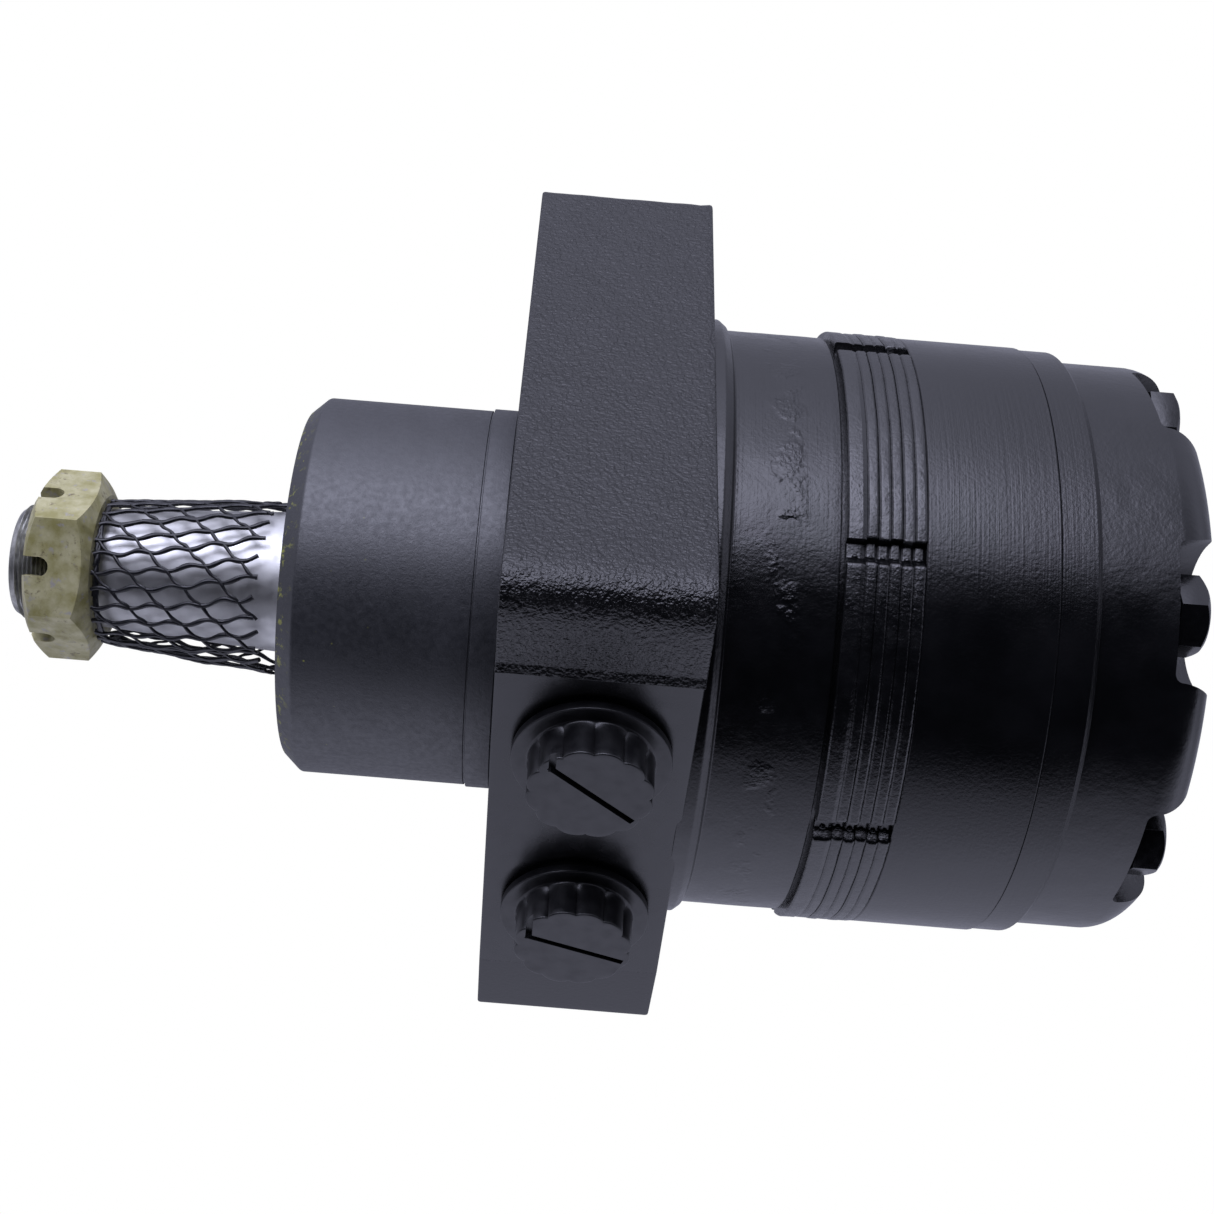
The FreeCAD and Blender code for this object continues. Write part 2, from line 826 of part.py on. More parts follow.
def make_drive_link():
    """A dog-bone link with crowned splines; it leans from the axis to the rotor."""
    body = new_body("drive_link")
    span = "sqrt((link_rear_pivot - link_front_pivot)^2 + eccentricity^2)"
    half = "link_half_spline"
    turn(
        body,
        [
            ("-" + half, "0"),
            ("-" + half, "link_root"),
            (half, "link_root"),
            (half + " + 3", "link_shank"),
            ("(%s) - %s - 3" % (span, half), "link_shank"),
            ("(%s) - %s" % (span, half), "link_root"),
            ("(%s) + %s" % (span, half), "link_root"),
            ("(%s) + %s" % (span, half), "0"),
        ],
    )
    for middle in ("0", span):
        start = "(%s) - %s" % (middle, half)
        end = "(%s) + %s" % (middle, half)
        tooth = block(body, "Additive", start, end, "link_root - 1", "link_tip", "link_tooth")
        around(body, [tooth], "spline_count")
    run = size("link_rear_pivot - link_front_pivot")
    lean = math.degrees(math.atan2(size("eccentricity"), run))
    body.Placement = Placement(Vector(size("link_front_pivot"), 0, 0), Rotation(Vector(0, 0, 1), lean))


def make_drive_spacer():
    body = ring("drive_spacer", "spacer_start", "spacer_end", "3", "spacer_radius")
    body.setExpression("Placement.Base.y", bound("eccentricity"))


def make_rollers():
    count = int(size("roller_count"))
    for index in range(count):
        roller = document.addObject("Part::Cylinder", "roller_%d" % (index + 1))
        roller.Label = "roller_%d" % (index + 1)
        bind(roller, Radius="roller_radius - roller_gap")
        bind(roller, Height="ring_end - manifold_end - 2 * side_gap")
        roller.Placement = Placement(Vector(0, 0, 0), ALONG_X)
        turn_deg = "%d * 360 / roller_count" % index
        roller.setExpression("Placement.Base.x", bound("manifold_end + side_gap"))
        roller.setExpression("Placement.Base.y", bound("roller_circle * cos(%s)" % turn_deg))
        roller.setExpression("Placement.Base.z", bound("roller_circle * sin(%s)" % turn_deg))
        pieces.append(roller)


# ---------------------------------------------------------------- port plugs


def make_port_plug(label, height):
    """A plastic plug: stem in the bore, round flange with a rim, fluted head."""
    face = size("-block_half + pad_recess - plug_washer")
    middle = Vector(size("port_place"), 0, height)
    away = Vector(0, -1, 0)

    def disc(radius, near, far):
        return Part.makeCylinder(radius, far - near, middle + Vector(0, face - near, 0), away)

    stem = disc(size("port_radius") - 0.2, -size("plug_stem"), 0)
    flange = disc(size("plug_flange_radius"), 0, size("plug_flange"))
    flange = flange.makeFillet(0.6, [flange.Edges[0]])
    dish = disc(size("plug_flange_radius") - 1.0, size("plug_flange") - 0.5, size("plug_flange"))
    head = disc(size("plug_head_radius"), 0, size("plug_height"))
    flutes = []
    count = 12
    for index in range(count):
        bearing = 2 * math.pi * index / count
        reach = size("plug_head_radius") + 1.9
        place = middle + Vector(math.cos(bearing) * reach, face - size("plug_flange"), 0)
        place.z += math.sin(bearing) * reach
        flutes.append(Part.makeCylinder(2.6, size("plug_height"), place, away))
    head = head.cut(flutes)
    plug = flange.cut(dish).fuse([stem, head]).removeSplitter()
    feature = document.addObject("Part::Feature", label)
    feature.Label = label
    feature.Shape = plug.Solids[0]
    pieces.append(feature)


def make_plug_seals():
    face = size("-block_half + pad_recess")
    away = Vector(0, -1, 0)
    thickness = size("plug_washer")
    washers = []
    for height in (size("port_spacing"), -size("port_spacing")):
        place = Vector(size("port_place"), face, height)
        outer = Part.makeCylinder(size("plug_flange_radius") - 1.4, thickness, place, away)
        inner = Part.makeCylinder(size("port_radius"), thickness, place, away)
        washers.append(outer.cut(inner))
    group("port_plug_seals", washers)


# ---------------------------------------------------------------- build, check, write


def build():
    make_housing()
    make_manifold_end_plate()
    make_manifold_plates()
    make_rotor_ring()
    make_balance_plate()
    make_end_cover()
    make_cover_bolts()
    make_body_seals()
    make_nose_seals()
    make_races()
    make_bearing("front", "front_pitch", "front_rollers_start", "front_rollers_end")
    make_bearing("rear", "rear_pitch", "rear_rollers_start", "rear_rollers_end")
    front = "race_bore_end"
    make_thrust("front", front, front + " + washer", "-thrust_flange_half - washer", "23", "34")
    rear_washer = "barrel_end - 0.05 - washer"
    rear_needles = rear_washer + " - 2 * needle_radius - 0.05"
    make_thrust("rear", rear_washer, rear_needles, "bell_end + 0.1", "19", "28.5")
    make_output_shaft()
    make_shaft_key()
    make_castle_nut()
    make_netting_sleeve()
    make_rotor()
    make_drive_link()
    make_drive_spacer()
    make_rollers()
    make_port_plug("port_plug_upper", size("port_spacing"))
    make_port_plug("port_plug_lower", -size("port_spacing"))
    make_plug_seals()


def check_and_write():
    document.recompute()
    for item in document.Objects:
        if "Invalid" in item.State or "Error" in item.State:
            raise RuntimeError("%s failed: %s" % (item.Label, item.State))
    for piece in pieces:
        if piece.Shape.isNull() or not piece.Shape.isValid():
            raise RuntimeError("%s has no valid shape" % piece.Label)
    os.makedirs("parts", exist_ok=True)
    for piece in pieces:
        piece.Shape.exportStep("parts/%s.step" % piece.Label)
        print("%-22s %2d solids %10.1f mm3" % (piece.Label, len(piece.Shape.Solids), piece.Shape.Volume))


build()
check_and_write()
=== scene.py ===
"""Visual model of the hydraulic motor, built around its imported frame.

X is the shaft axis with the output shaft towards -X, +Z is up and -Y is the port face.
Sizes are in millimetres in the code and become metres where a mesh is made.
"""

import math

import bmesh
import bpy
from mathutils import Matrix, Vector, noise


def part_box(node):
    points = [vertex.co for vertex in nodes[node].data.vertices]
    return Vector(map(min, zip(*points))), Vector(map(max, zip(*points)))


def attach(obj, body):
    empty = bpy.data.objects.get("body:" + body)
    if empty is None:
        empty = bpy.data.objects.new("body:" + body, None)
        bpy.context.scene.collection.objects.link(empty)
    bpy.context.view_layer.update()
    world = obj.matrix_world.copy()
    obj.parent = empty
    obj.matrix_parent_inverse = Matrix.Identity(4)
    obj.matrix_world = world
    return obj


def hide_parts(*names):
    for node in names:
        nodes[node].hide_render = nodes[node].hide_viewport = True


MM = 0.001
TAU = 2 * math.pi

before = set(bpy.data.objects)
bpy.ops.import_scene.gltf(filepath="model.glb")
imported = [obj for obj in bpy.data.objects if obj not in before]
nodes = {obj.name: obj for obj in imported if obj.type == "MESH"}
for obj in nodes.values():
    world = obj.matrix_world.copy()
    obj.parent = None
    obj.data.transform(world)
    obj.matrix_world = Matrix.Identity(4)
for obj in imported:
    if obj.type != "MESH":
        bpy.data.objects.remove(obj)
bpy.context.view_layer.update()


def low(node):
    """A node's lowest corner in millimetres."""
    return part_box(node)[0] / MM


def high(node):
    """A node's highest corner in millimetres."""
    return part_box(node)[1] / MM


# ---------------------------------------------------------------- places from the frame

NOSE_FRONT = low("housing").x
BARREL_END = high("housing").x
BLOCK_HALF = high("housing").z
PLATE_END = high("manifold_end_plate").x
MANIFOLD_END = high("manifold_plates").x
MANIFOLD_R = high("manifold_plates").z
THREAD_END = low("output_shaft").x
SHAFT_END = high("output_shaft").x
NUT_START = low("castle_nut").x
NUT_END = high("castle_nut").x
NET_START = low("netting_sleeve").x
NET_END = high("netting_sleeve").x

NOSE_R = 41.5
PILOT_R = 41.95
PILOT_LENGTH = 6.3
BLOCK_LENGTH = 38.1
CORNER_ROUND = 9.0
BACK_ROUND = 4.0
PAD_HALF = 45.0
PAD_RECESS = 1.2
DRAFT_DROP = 4.2
BARREL_R = 63.0
COLLAR_R = 65.2
COLLAR_END = 41.7
BOLT_PLACE = 73.8 / math.sqrt(2)
HOLE_R = 6.75
NOTCHES = 7
NOTCH_TURN = math.radians(174.1)
PLATES = 5
THREAD_R = 12.7
THREAD_PITCH = 0.95
TAPER_END = -46.2
SEAL_BORE_R = 27.0
NUT_TURN = math.radians(180 - 40.6)
NET_R = 17.2
NET_SAG_SIDE = math.radians(225)
NET_OPEN_SIDE = math.radians(138)
YELLOW_PAINT = (0.24, 0.25, 0.03)


# ---------------------------------------------------------------- mesh helpers


def new_piece(name, mesh, material, body, replaced=()):
    """Links a mesh as a piece that rides on a body and stands for CAD nodes."""
    piece = bpy.data.objects.new(name, mesh)
    bpy.context.scene.collection.objects.link(piece)
    for one in material if isinstance(material, (list, tuple)) else [material]:
        mesh.materials.append(one)
    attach(piece, body)
    if replaced:
        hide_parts(*replaced)
    return piece


def finish_mesh(bm, name, sharp_deg=32):
    """Scales a bmesh to metres, smooths it and marks its sharp edges."""
    bmesh.ops.remove_doubles(bm, verts=bm.verts, dist=1e-4)
    bmesh.ops.recalc_face_normals(bm, faces=bm.faces)
    bmesh.ops.scale(bm, vec=(MM, MM, MM), verts=bm.verts)
    mesh = bpy.data.meshes.new(name)
    bm.to_mesh(mesh)
    bm.free()
    mesh.shade_smooth()
    mesh.set_sharp_from_angle(angle=math.radians(sharp_deg))
    return mesh


def rounded(outline, steps=5):
    """Corners (x, r, round) become points; a round above zero becomes an arc."""
    points = []
    last = len(outline) - 1
    for index, (x, r, radius) in enumerate(outline):
        here = Vector((x, r))
        if radius <= 0 or index in (0, last):
            points.append(here)
            continue
        before = (Vector(outline[index - 1][:2]) - here)
        after = (Vector(outline[index + 1][:2]) - here)
        half = before.angle(after) / 2
        reach = min(radius / math.tan(half), before.length * 0.49, after.length * 0.49)
        start = here + before.normalized() * reach
        end = here + after.normalized() * reach
        for step in range(steps + 1):
            t = step / steps
            points.append(start * (1 - t) ** 2 + here * (2 * t * (1 - t)) + end * t ** 2)
    return points


def divided(points, longest):
    """Adds points so that no step is longer than a length."""
    result = [points[0]]
    for start, end in zip(points, points[1:]):
        count = max(1, math.ceil((end - start).length / longest))
        result.extend(start.lerp(end, step / count) for step in range(1, count + 1))
    return result


def even_angles(count):
    return [TAU * step / count for step in range(count)]


def lathe(points, angles, radius_at=None, closed=False):
    """A surface of revolution about X; radius_at may change r by place and angle."""
    bm = bmesh.new()
    rings = []
    for point in points:
        ring = []
        for angle in angles:
            x, r = point.x, point.y
            if radius_at and r > 0:
                x, r = radius_at(x, r, angle)
            ring.append(bm.verts.new((x, r * math.cos(angle), r * math.sin(angle))))
        rings.append(ring)
    count = len(angles)
    pairs = list(zip(rings, rings[1:]))
    if closed:
        pairs.append((rings[-1], rings[0]))
    for one, two in pairs:
        for index in range(count):
            following = (index + 1) % count
            quad = (one[index], one[following], two[following], two[index])
            bm.faces.new(quad)
    return bm


def rough(x, y, z, size):
    """Smooth noise of a feature size, from -1 to 1."""
    return noise.noise(Vector((x / size, y / size, z / size)))


def join_into(target, source):
    """Copies one bmesh into another and frees it."""
    spare = bpy.data.meshes.new("spare")
    source.to_mesh(spare)
    source.free()
    target.from_mesh(spare)
    bpy.data.meshes.remove(spare)


def apply_modifiers(piece):
    """Makes a piece's modifiers part of its mesh."""
    graph = bpy.context.evaluated_depsgraph_get()
    mesh = bpy.data.meshes.new_from_object(piece.evaluated_get(graph))
    piece.modifiers.clear()
    piece.data = mesh


# ---------------------------------------------------------------- material helpers


class Shader:
    """A material's node tree, with short ways to add what these finishes share."""

    def __init__(self, name, color, roughness, metallic=0.0):
        self.material = bpy.data.materials.new(name)
        self.material.use_nodes = True
        self.tree = self.material.node_tree
        self.shader = self.tree.nodes["Principled BSDF"]
        self.shader.inputs["Base Color"].default_value = (*color, 1)
        self.shader.inputs["Roughness"].default_value = roughness
        self.shader.inputs["Metallic"].default_value = metallic
        self.place = self.tree.nodes.new("ShaderNodeTexCoord").outputs["Object"]
        self.normal = None

    def link(self, output, socket):
        self.tree.links.new(output, socket)

    def add(self, kind, **settings):
        node = self.tree.nodes.new(kind)
        for name, value in settings.items():
            setattr(node, name, value)
        return node

    def stretched(self, scale):
        """Object coordinates scaled along each axis, in features per metre."""
        mapping = self.add("ShaderNodeMapping")
        mapping.inputs["Scale"].default_value = scale
        self.link(self.place, mapping.inputs["Vector"])
        return mapping.outputs["Vector"]

    def noise(self, feature_mm, detail=3.0, rough=0.5, stretch=(1, 1, 1)):
        scale = 1 / (feature_mm * MM)
        texture = self.add("ShaderNodeTexNoise")
        texture.inputs["Scale"].default_value = 1.0
        texture.inputs["Detail"].default_value = detail
        texture.inputs["Roughness"].default_value = rough
        scales = tuple(scale * part for part in stretch)
        self.link(self.stretched(scales), texture.inputs["Vector"])
        return texture.outputs["Fac"]

    def cells(self, feature_mm, feature="F1", smoothness=None):
        texture = self.add("ShaderNodeTexVoronoi", feature=feature)
        texture.inputs["Scale"].default_value = 1.0
        if smoothness is not None:
            texture.inputs["Smoothness"].default_value = smoothness
        scale = 1 / (feature_mm * MM)
        self.link(self.stretched((scale, scale, scale)), texture.inputs["Vector"])
        return texture

    def range(self, value, low_in, high_in, low_out, high_out):
        node = self.add("ShaderNodeMapRange")
        self.link(value, node.inputs["Value"])
        limits = (low_in, high_in, low_out, high_out)
        for name, limit in zip(("From Min", "From Max", "To Min", "To Max"), limits):
            node.inputs[name].default_value = limit
        return node.outputs["Result"]

    def math(self, operation, one, two):
        node = self.add("ShaderNodeMath", operation=operation)
        for socket, value in zip(node.inputs, (one, two)):
            if isinstance(value, (int, float)):
                socket.default_value = value
            else:
                self.link(value, socket)
        return node.outputs["Value"]

    def axis(self, name):
        """One object coordinate in millimetres."""
        node = self.add("ShaderNodeSeparateXYZ")
        self.link(self.place, node.inputs["Vector"])
        return self.math("MULTIPLY", node.outputs[name], 1 / MM)

    def mix(self, factor, one, two):
        """A colour between two, each a colour or an output."""
        node = self.add("ShaderNodeMix", data_type="RGBA")
        self.link(factor, node.inputs["Factor"])
        for name, value in (("A", one), ("B", two)):
            socket = [s for s in node.inputs if s.name == name and s.type == "RGBA"][0]
            if isinstance(value, tuple):
                socket.default_value = (*value, 1)
            else:
                self.link(value, socket)
        return [s for s in node.outputs if s.type == "RGBA"][0]

    def color(self, output):
        self.link(output, self.shader.inputs["Base Color"])

    def roughness(self, output):
        self.link(output, self.shader.inputs["Roughness"])

    def bump(self, height, depth_mm, strength=1.0):
        """Adds a height to the surface; later ones lie on earlier ones."""
        node = self.add("ShaderNodeBump")
        node.inputs["Distance"].default_value = depth_mm * MM
        node.inputs["Strength"].default_value = strength
        self.link(height, node.inputs["Height"])
        if self.normal:
            self.link(self.normal, node.inputs["Normal"])
        self.normal = node.outputs["Normal"]
        self.link(self.normal, self.shader.inputs["Normal"])


def turned_lines(shader, depth_mm, spacing_mm=0.35):
    """Fine rings left by a lathe tool, along X."""
    along = shader.noise(spacing_mm, 2.0, 0.6, stretch=(1, 0.012, 0.012))
    shader.bump(along, depth_mm)


# ---------------------------------------------------------------- materials

PAINT = (0.0026, 0.0028, 0.0032)
PAINT_DUSTY = (0.0060, 0.0061, 0.0068)


def make_cast_paint():
    """Semi-gloss black paint over a sand casting."""
    s = Shader("cast_paint", PAINT, 0.30)
    s.color(s.mix(s.range(s.noise(9.0, 4.0), 0.42, 0.72, 0, 1), PAINT, PAINT_DUSTY))
    s.roughness(s.range(s.noise(3.0, 3.0), 0.3, 0.7, 0.24, 0.34))
    s.bump(s.noise(1.0, 2.0, 0.5), 0.38)
    s.bump(s.noise(0.5, 2.0, 0.5), 0.10)
    return s.material


def make_pad_paint():
    """Smooth paint over the machined port pad."""
    s = Shader("pad_paint", PAINT, 0.26)
    s.color(s.mix(s.range(s.noise(12, 4), 0.4, 0.75, 0, 1), PAINT, PAINT_DUSTY))
    s.roughness(s.range(s.noise(5, 4), 0.3, 0.7, 0.22, 0.30))
    s.bump(s.noise(0.5, 3.0, 0.6), 0.010)
    s.bump(s.noise(0.35, 2.0, 0.6, stretch=(0.03, 1, 1)), 0.006)
    return s.material


def make_foot_paint():
    """Duller paint over the drafted foot below the pad."""
    s = Shader("foot_paint", PAINT, 0.34)
    s.shader.inputs["Specular IOR Level"].default_value = 0.36
    s.color(s.mix(s.range(s.noise(12, 4), 0.4, 0.75, 0, 1), PAINT, PAINT_DUSTY))
    s.bump(s.noise(0.9, 3.0, 0.5), 0.03)
    return s.material


def make_barrel_paint():
    """Paint over a rough-turned barrel with patches of cast skin."""
    s = Shader("barrel_paint", PAINT, 0.22)
    s.color(s.mix(s.range(s.noise(10, 4), 0.4, 0.75, 0, 1), PAINT, PAINT_DUSTY))
    s.roughness(s.range(s.noise(3, 4), 0.3, 0.7, 0.18, 0.26))
    turned_lines(s, 0.030, 0.5)
    band = s.range(s.math("ABSOLUTE", s.math("SUBTRACT", s.axis("X"), 52.5), 0), 1.5, 4.5, 1, 0)
    patch = s.range(s.noise(8, 3, 0.6), 0.52, 0.60, 0, 1)
    pits = s.math("MULTIPLY", s.noise(0.9, 2.0, 0.5), s.math("MULTIPLY", patch, band))
    s.bump(pits, 0.26)
    s.bump(s.noise(0.8, 3.0, 0.6), 0.075)
    return s.material


def make_stack_paint():
    """Glossy black paint over finely turned steel."""
    s = Shader("stack_paint", PAINT, 0.20)
    s.color(s.mix(s.range(s.noise(14, 4), 0.4, 0.75, 0, 1), PAINT, PAINT_DUSTY))
    s.roughness(s.range(s.noise(6, 4), 0.3, 0.7, 0.17, 0.24))
    turned_lines(s, 0.040, 0.5)
    s.bump(s.noise(0.75, 3.0, 0.6), 0.060)
    return s.material


def make_cover_paint():
    """Glossy black paint over a smooth casting."""
    s = Shader("cover_paint", PAINT, 0.22)
    s.color(s.mix(s.range(s.noise(14, 4), 0.4, 0.75, 0, 1), PAINT, PAINT_DUSTY))
    s.roughness(s.range(s.noise(6, 4), 0.3, 0.7, 0.18, 0.26))
    s.bump(s.noise(0.8, 3.0, 0.55), 0.050)
    s.bump(s.noise(5.0, 2.0, 0.5), 0.10)
    return s.material


def make_manifold_paint():
    """Paint pooled over the edges of the brazed plates."""
    s = Shader("manifold_paint", PAINT, 0.22)
    s.shader.inputs["Specular IOR Level"].default_value = 0.66
    s.color(s.mix(s.range(s.noise(6, 4), 0.4, 0.75, 0, 1), PAINT, PAINT_DUSTY))
    s.roughness(s.range(s.noise(2.5, 4), 0.3, 0.7, 0.16, 0.30))
    s.bump(s.noise(0.8, 3.0, 0.6), 0.12)
    return s.material


def make_bolt_paint():
    """Thin glossy paint over plated bolts."""
    s = Shader("bolt_paint", (0.003, 0.0031, 0.0035), 0.2)
    s.roughness(s.range(s.noise(1.5, 3), 0.3, 0.7, 0.15, 0.28))
    s.bump(s.noise(0.9, 3.0, 0.6), 0.03)
    return s.material


def make_nose_steel():
    """Dark phosphated turned iron with a few specks of yellow paint."""
    dark = (0.014, 0.015, 0.017)
    light = (0.022, 0.023, 0.026)
    s = Shader("nose_phosphate", dark, 0.44)
    s.shader.inputs["Specular IOR Level"].default_value = 0.85
    tint = s.range(s.noise(8, 5, 0.6, stretch=(1, 0.4, 0.4)), 0.35, 0.7, 0, 1)
    base = s.mix(tint, dark, light)
    dots = s.range(s.cells(2.6).outputs["Distance"], 0.05, 0.10, 1, 0)
    where = s.range(s.noise(11, 2, 0.5), 0.54, 0.60, 0, 1)
    near_front = s.range(s.axis("X"), NOSE_FRONT + 4, NOSE_FRONT + 22, 1, 0)
    specks = s.math("MULTIPLY", s.math("MULTIPLY", dots, where), near_front)
    rim = s.range(s.axis("X"), NOSE_FRONT + 0.3, NOSE_FRONT + 3.4, 1, 0)
    streaks = s.math("MULTIPLY", s.range(s.noise(2.4, 5, 0.7), 0.56, 0.62, 0, 1), rim)
    yellow = s.math("MAXIMUM", specks, streaks)
    s.color(s.mix(yellow, base, YELLOW_PAINT))
    s.roughness(s.range(s.noise(1.2, 4), 0.3, 0.7, 0.40, 0.54))
    turned_lines(s, 0.012, 0.3)
    s.bump(s.noise(0.6, 3.0, 0.65), 0.060)
    return s.material


def make_shaft_steel():
    """Bright turned steel with faint rings."""
    s = Shader("shaft_steel", (0.60, 0.60, 0.60), 0.48, 1.0)
    tint = s.range(s.noise(5, 4), 0.35, 0.7, 0, 1)
    s.color(s.mix(tint, (0.54, 0.54, 0.53), (0.68, 0.68, 0.66)))
    s.roughness(s.range(s.noise(2, 4), 0.3, 0.7, 0.44, 0.56))
    turned_lines(s, 0.006, 0.25)
    return s.material


def make_thread_steel():
    """Dull grey steel with oil in the thread."""
    s = Shader("thread_steel", (0.36, 0.36, 0.34), 0.42, 0.85)
    tint = s.range(s.noise(1.6, 4), 0.35, 0.7, 0, 1)
    s.color(s.mix(tint, (0.27, 0.27, 0.25), (0.46, 0.46, 0.43)))
    s.roughness(s.range(s.noise(1, 3), 0.3, 0.7, 0.34, 0.52))
    s.bump(s.noise(0.3, 3.0, 0.6), 0.012)
    return s.material


def make_yellow_zinc():
    """Yellow zinc plating, stained on the flats and rubbed bright on the edges."""
    s = Shader("yellow_zinc", (0.30, 0.28, 0.16), 0.45, 0.25)
    pale, olive, brown = (0.50, 0.47, 0.27), (0.30, 0.275, 0.10), (0.17, 0.14, 0.07)
    base = s.mix(s.range(s.noise(4.5, 5, 0.6), 0.38, 0.66, 0, 1), pale, olive)
    stain = s.range(s.noise(1.3, 4, 0.65), 0.55, 0.68, 0, 1)
    area = s.range(s.noise(6, 2, 0.5), 0.46, 0.58, 0, 1)
    base = s.mix(s.math("MULTIPLY", stain, area), base, brown)
    bleach = s.range(s.noise(2.1, 4, 0.6), 0.60, 0.70, 0, 0.7)
    base = s.mix(bleach, base, (0.36, 0.34, 0.36))
    s.color(base)
    s.roughness(s.range(s.noise(1.5, 4), 0.3, 0.7, 0.36, 0.54))
    s.bump(s.noise(0.8, 4.0, 0.6), 0.03)
    s.bump(s.noise(0.3, 2.0, 0.6), 0.01)
    return s.material


def make_worn_zinc():
    """The nut's rubbed edges, pale against the yellow flats."""
    s = Shader("worn_zinc", (0.50, 0.48, 0.38), 0.38, 0.4)
    s.color(s.mix(s.range(s.noise(2.2, 4, 0.6), 0.4, 0.6, 0, 1), (0.58, 0.57, 0.48), (0.36, 0.34, 0.22)))
    s.bump(s.noise(0.5, 3.0, 0.6), 0.01)
    return s.material


def make_net_plastic():
    """Glossy black extruded polyethylene."""
    s = Shader("net_plastic", (0.004, 0.0042, 0.006), 0.30)
    s.roughness(s.range(s.noise(1.5, 3), 0.3, 0.7, 0.24, 0.42))
    s.bump(s.noise(0.5, 2.0, 0.5), 0.02)
    return s.material


def make_plug_plastic():
    """Black moulded plastic."""
    s = Shader("plug_plastic", (0.004, 0.0041, 0.0048), 0.30)
    s.roughness(s.range(s.noise(3, 4), 0.3, 0.7, 0.28, 0.44))
    s.bump(s.noise(1.4, 3.0, 0.6), 0.012)
    s.bump(s.noise(0.3, 2.0, 0.6), 0.005)
    return s.material


def make_rubber():
    s = Shader("seal_rubber", (0.018, 0.018, 0.019), 0.6)
    s.bump(s.noise(0.4, 3.0, 0.6), 0.01)
    return s.material


def make_bearing_steel():
    s = Shader("bearing_steel", (0.58, 0.58, 0.60), 0.25, 1.0)
    s.roughness(s.range(s.noise(2, 4), 0.3, 0.7, 0.18, 0.34))
    turned_lines(s, 0.004, 0.3)
    return s.material


M = {
    "cast": make_cast_paint(),
    "pad": make_pad_paint(),
    "foot": make_foot_paint(),
    "barrel": make_barrel_paint(),
    "stack": make_stack_paint(),
    "cover": make_cover_paint(),
    "manifold": make_manifold_paint(),
    "bolt": make_bolt_paint(),
    "nose": make_nose_steel(),
    "shaft": make_shaft_steel(),
    "thread": make_thread_steel(),
    "zinc": make_yellow_zinc(),
    "worn": make_worn_zinc(),
    "net": make_net_plastic(),
    "plug": make_plug_plastic(),
    "rubber": make_rubber(),
    "bearing": make_bearing_steel(),
}


# ---------------------------------------------------------------- housing


def make_nose():
    """Turned nose with its bevel, fine groove, pilot land and seal bore."""
    groove = -PILOT_LENGTH - 0.5
    outline = [
        (NOSE_FRONT + 16, SEAL_BORE_R, 0),
        (NOSE_FRONT, SEAL_BORE_R, 0.5),
        (NOSE_FRONT, NOSE_R - 3.3, 0.5),
        (NOSE_FRONT + 3.6, NOSE_R, 1.2),
        (groove, NOSE_R, 0.05),
        (groove + 0.1, NOSE_R - 0.3, 0.05),
        (-PILOT_LENGTH - 0.1, NOSE_R - 0.3, 0.05),
        (-PILOT_LENGTH, PILOT_R, 0.08),
        (-1.2, PILOT_R, 0.1),
        (-1.0, PILOT_R - 0.25, 0.1),
        (0.3, PILOT_R - 0.25, 0),
    ]
    bm = lathe(divided(rounded(outline), 6), even_angles(224))
    mesh = finish_mesh(bm, "housing_nose")
    return new_piece("housing_nose", mesh, M["nose"], "motor_body", ("housing",))


def block_section():
    """The block's outline in Y and Z, with the recessed pad and its drafted foot."""
    half = BLOCK_HALF
    pad = -half + PAD_RECESS
    corners = [
        (-half, half, CORNER_ROUND),
        (-half, PAD_HALF + 2.2, 0.8),
        (-half - 0.85, PAD_HALF + 0.3, 0.2),
        (-half - 0.3, PAD_HALF, 0.15),
        (pad, PAD_HALF - 0.35, 0.15),
        (pad, -PAD_HALF, 2.0),
        (-half + DRAFT_DROP, -half, 1.5),
        (half, -half, BACK_ROUND),
        (half, half, BACK_ROUND),
    ]
    wrapped = corners[-1:] + corners + corners[:1]
    points = rounded(wrapped, 8)[1:-1]
    return divided(points + points[:1], 2.2)[:-1]


def on_pad(y, z):
    return y < -BLOCK_HALF + PAD_RECESS + 0.3 and abs(z) < PAD_HALF - 0.2


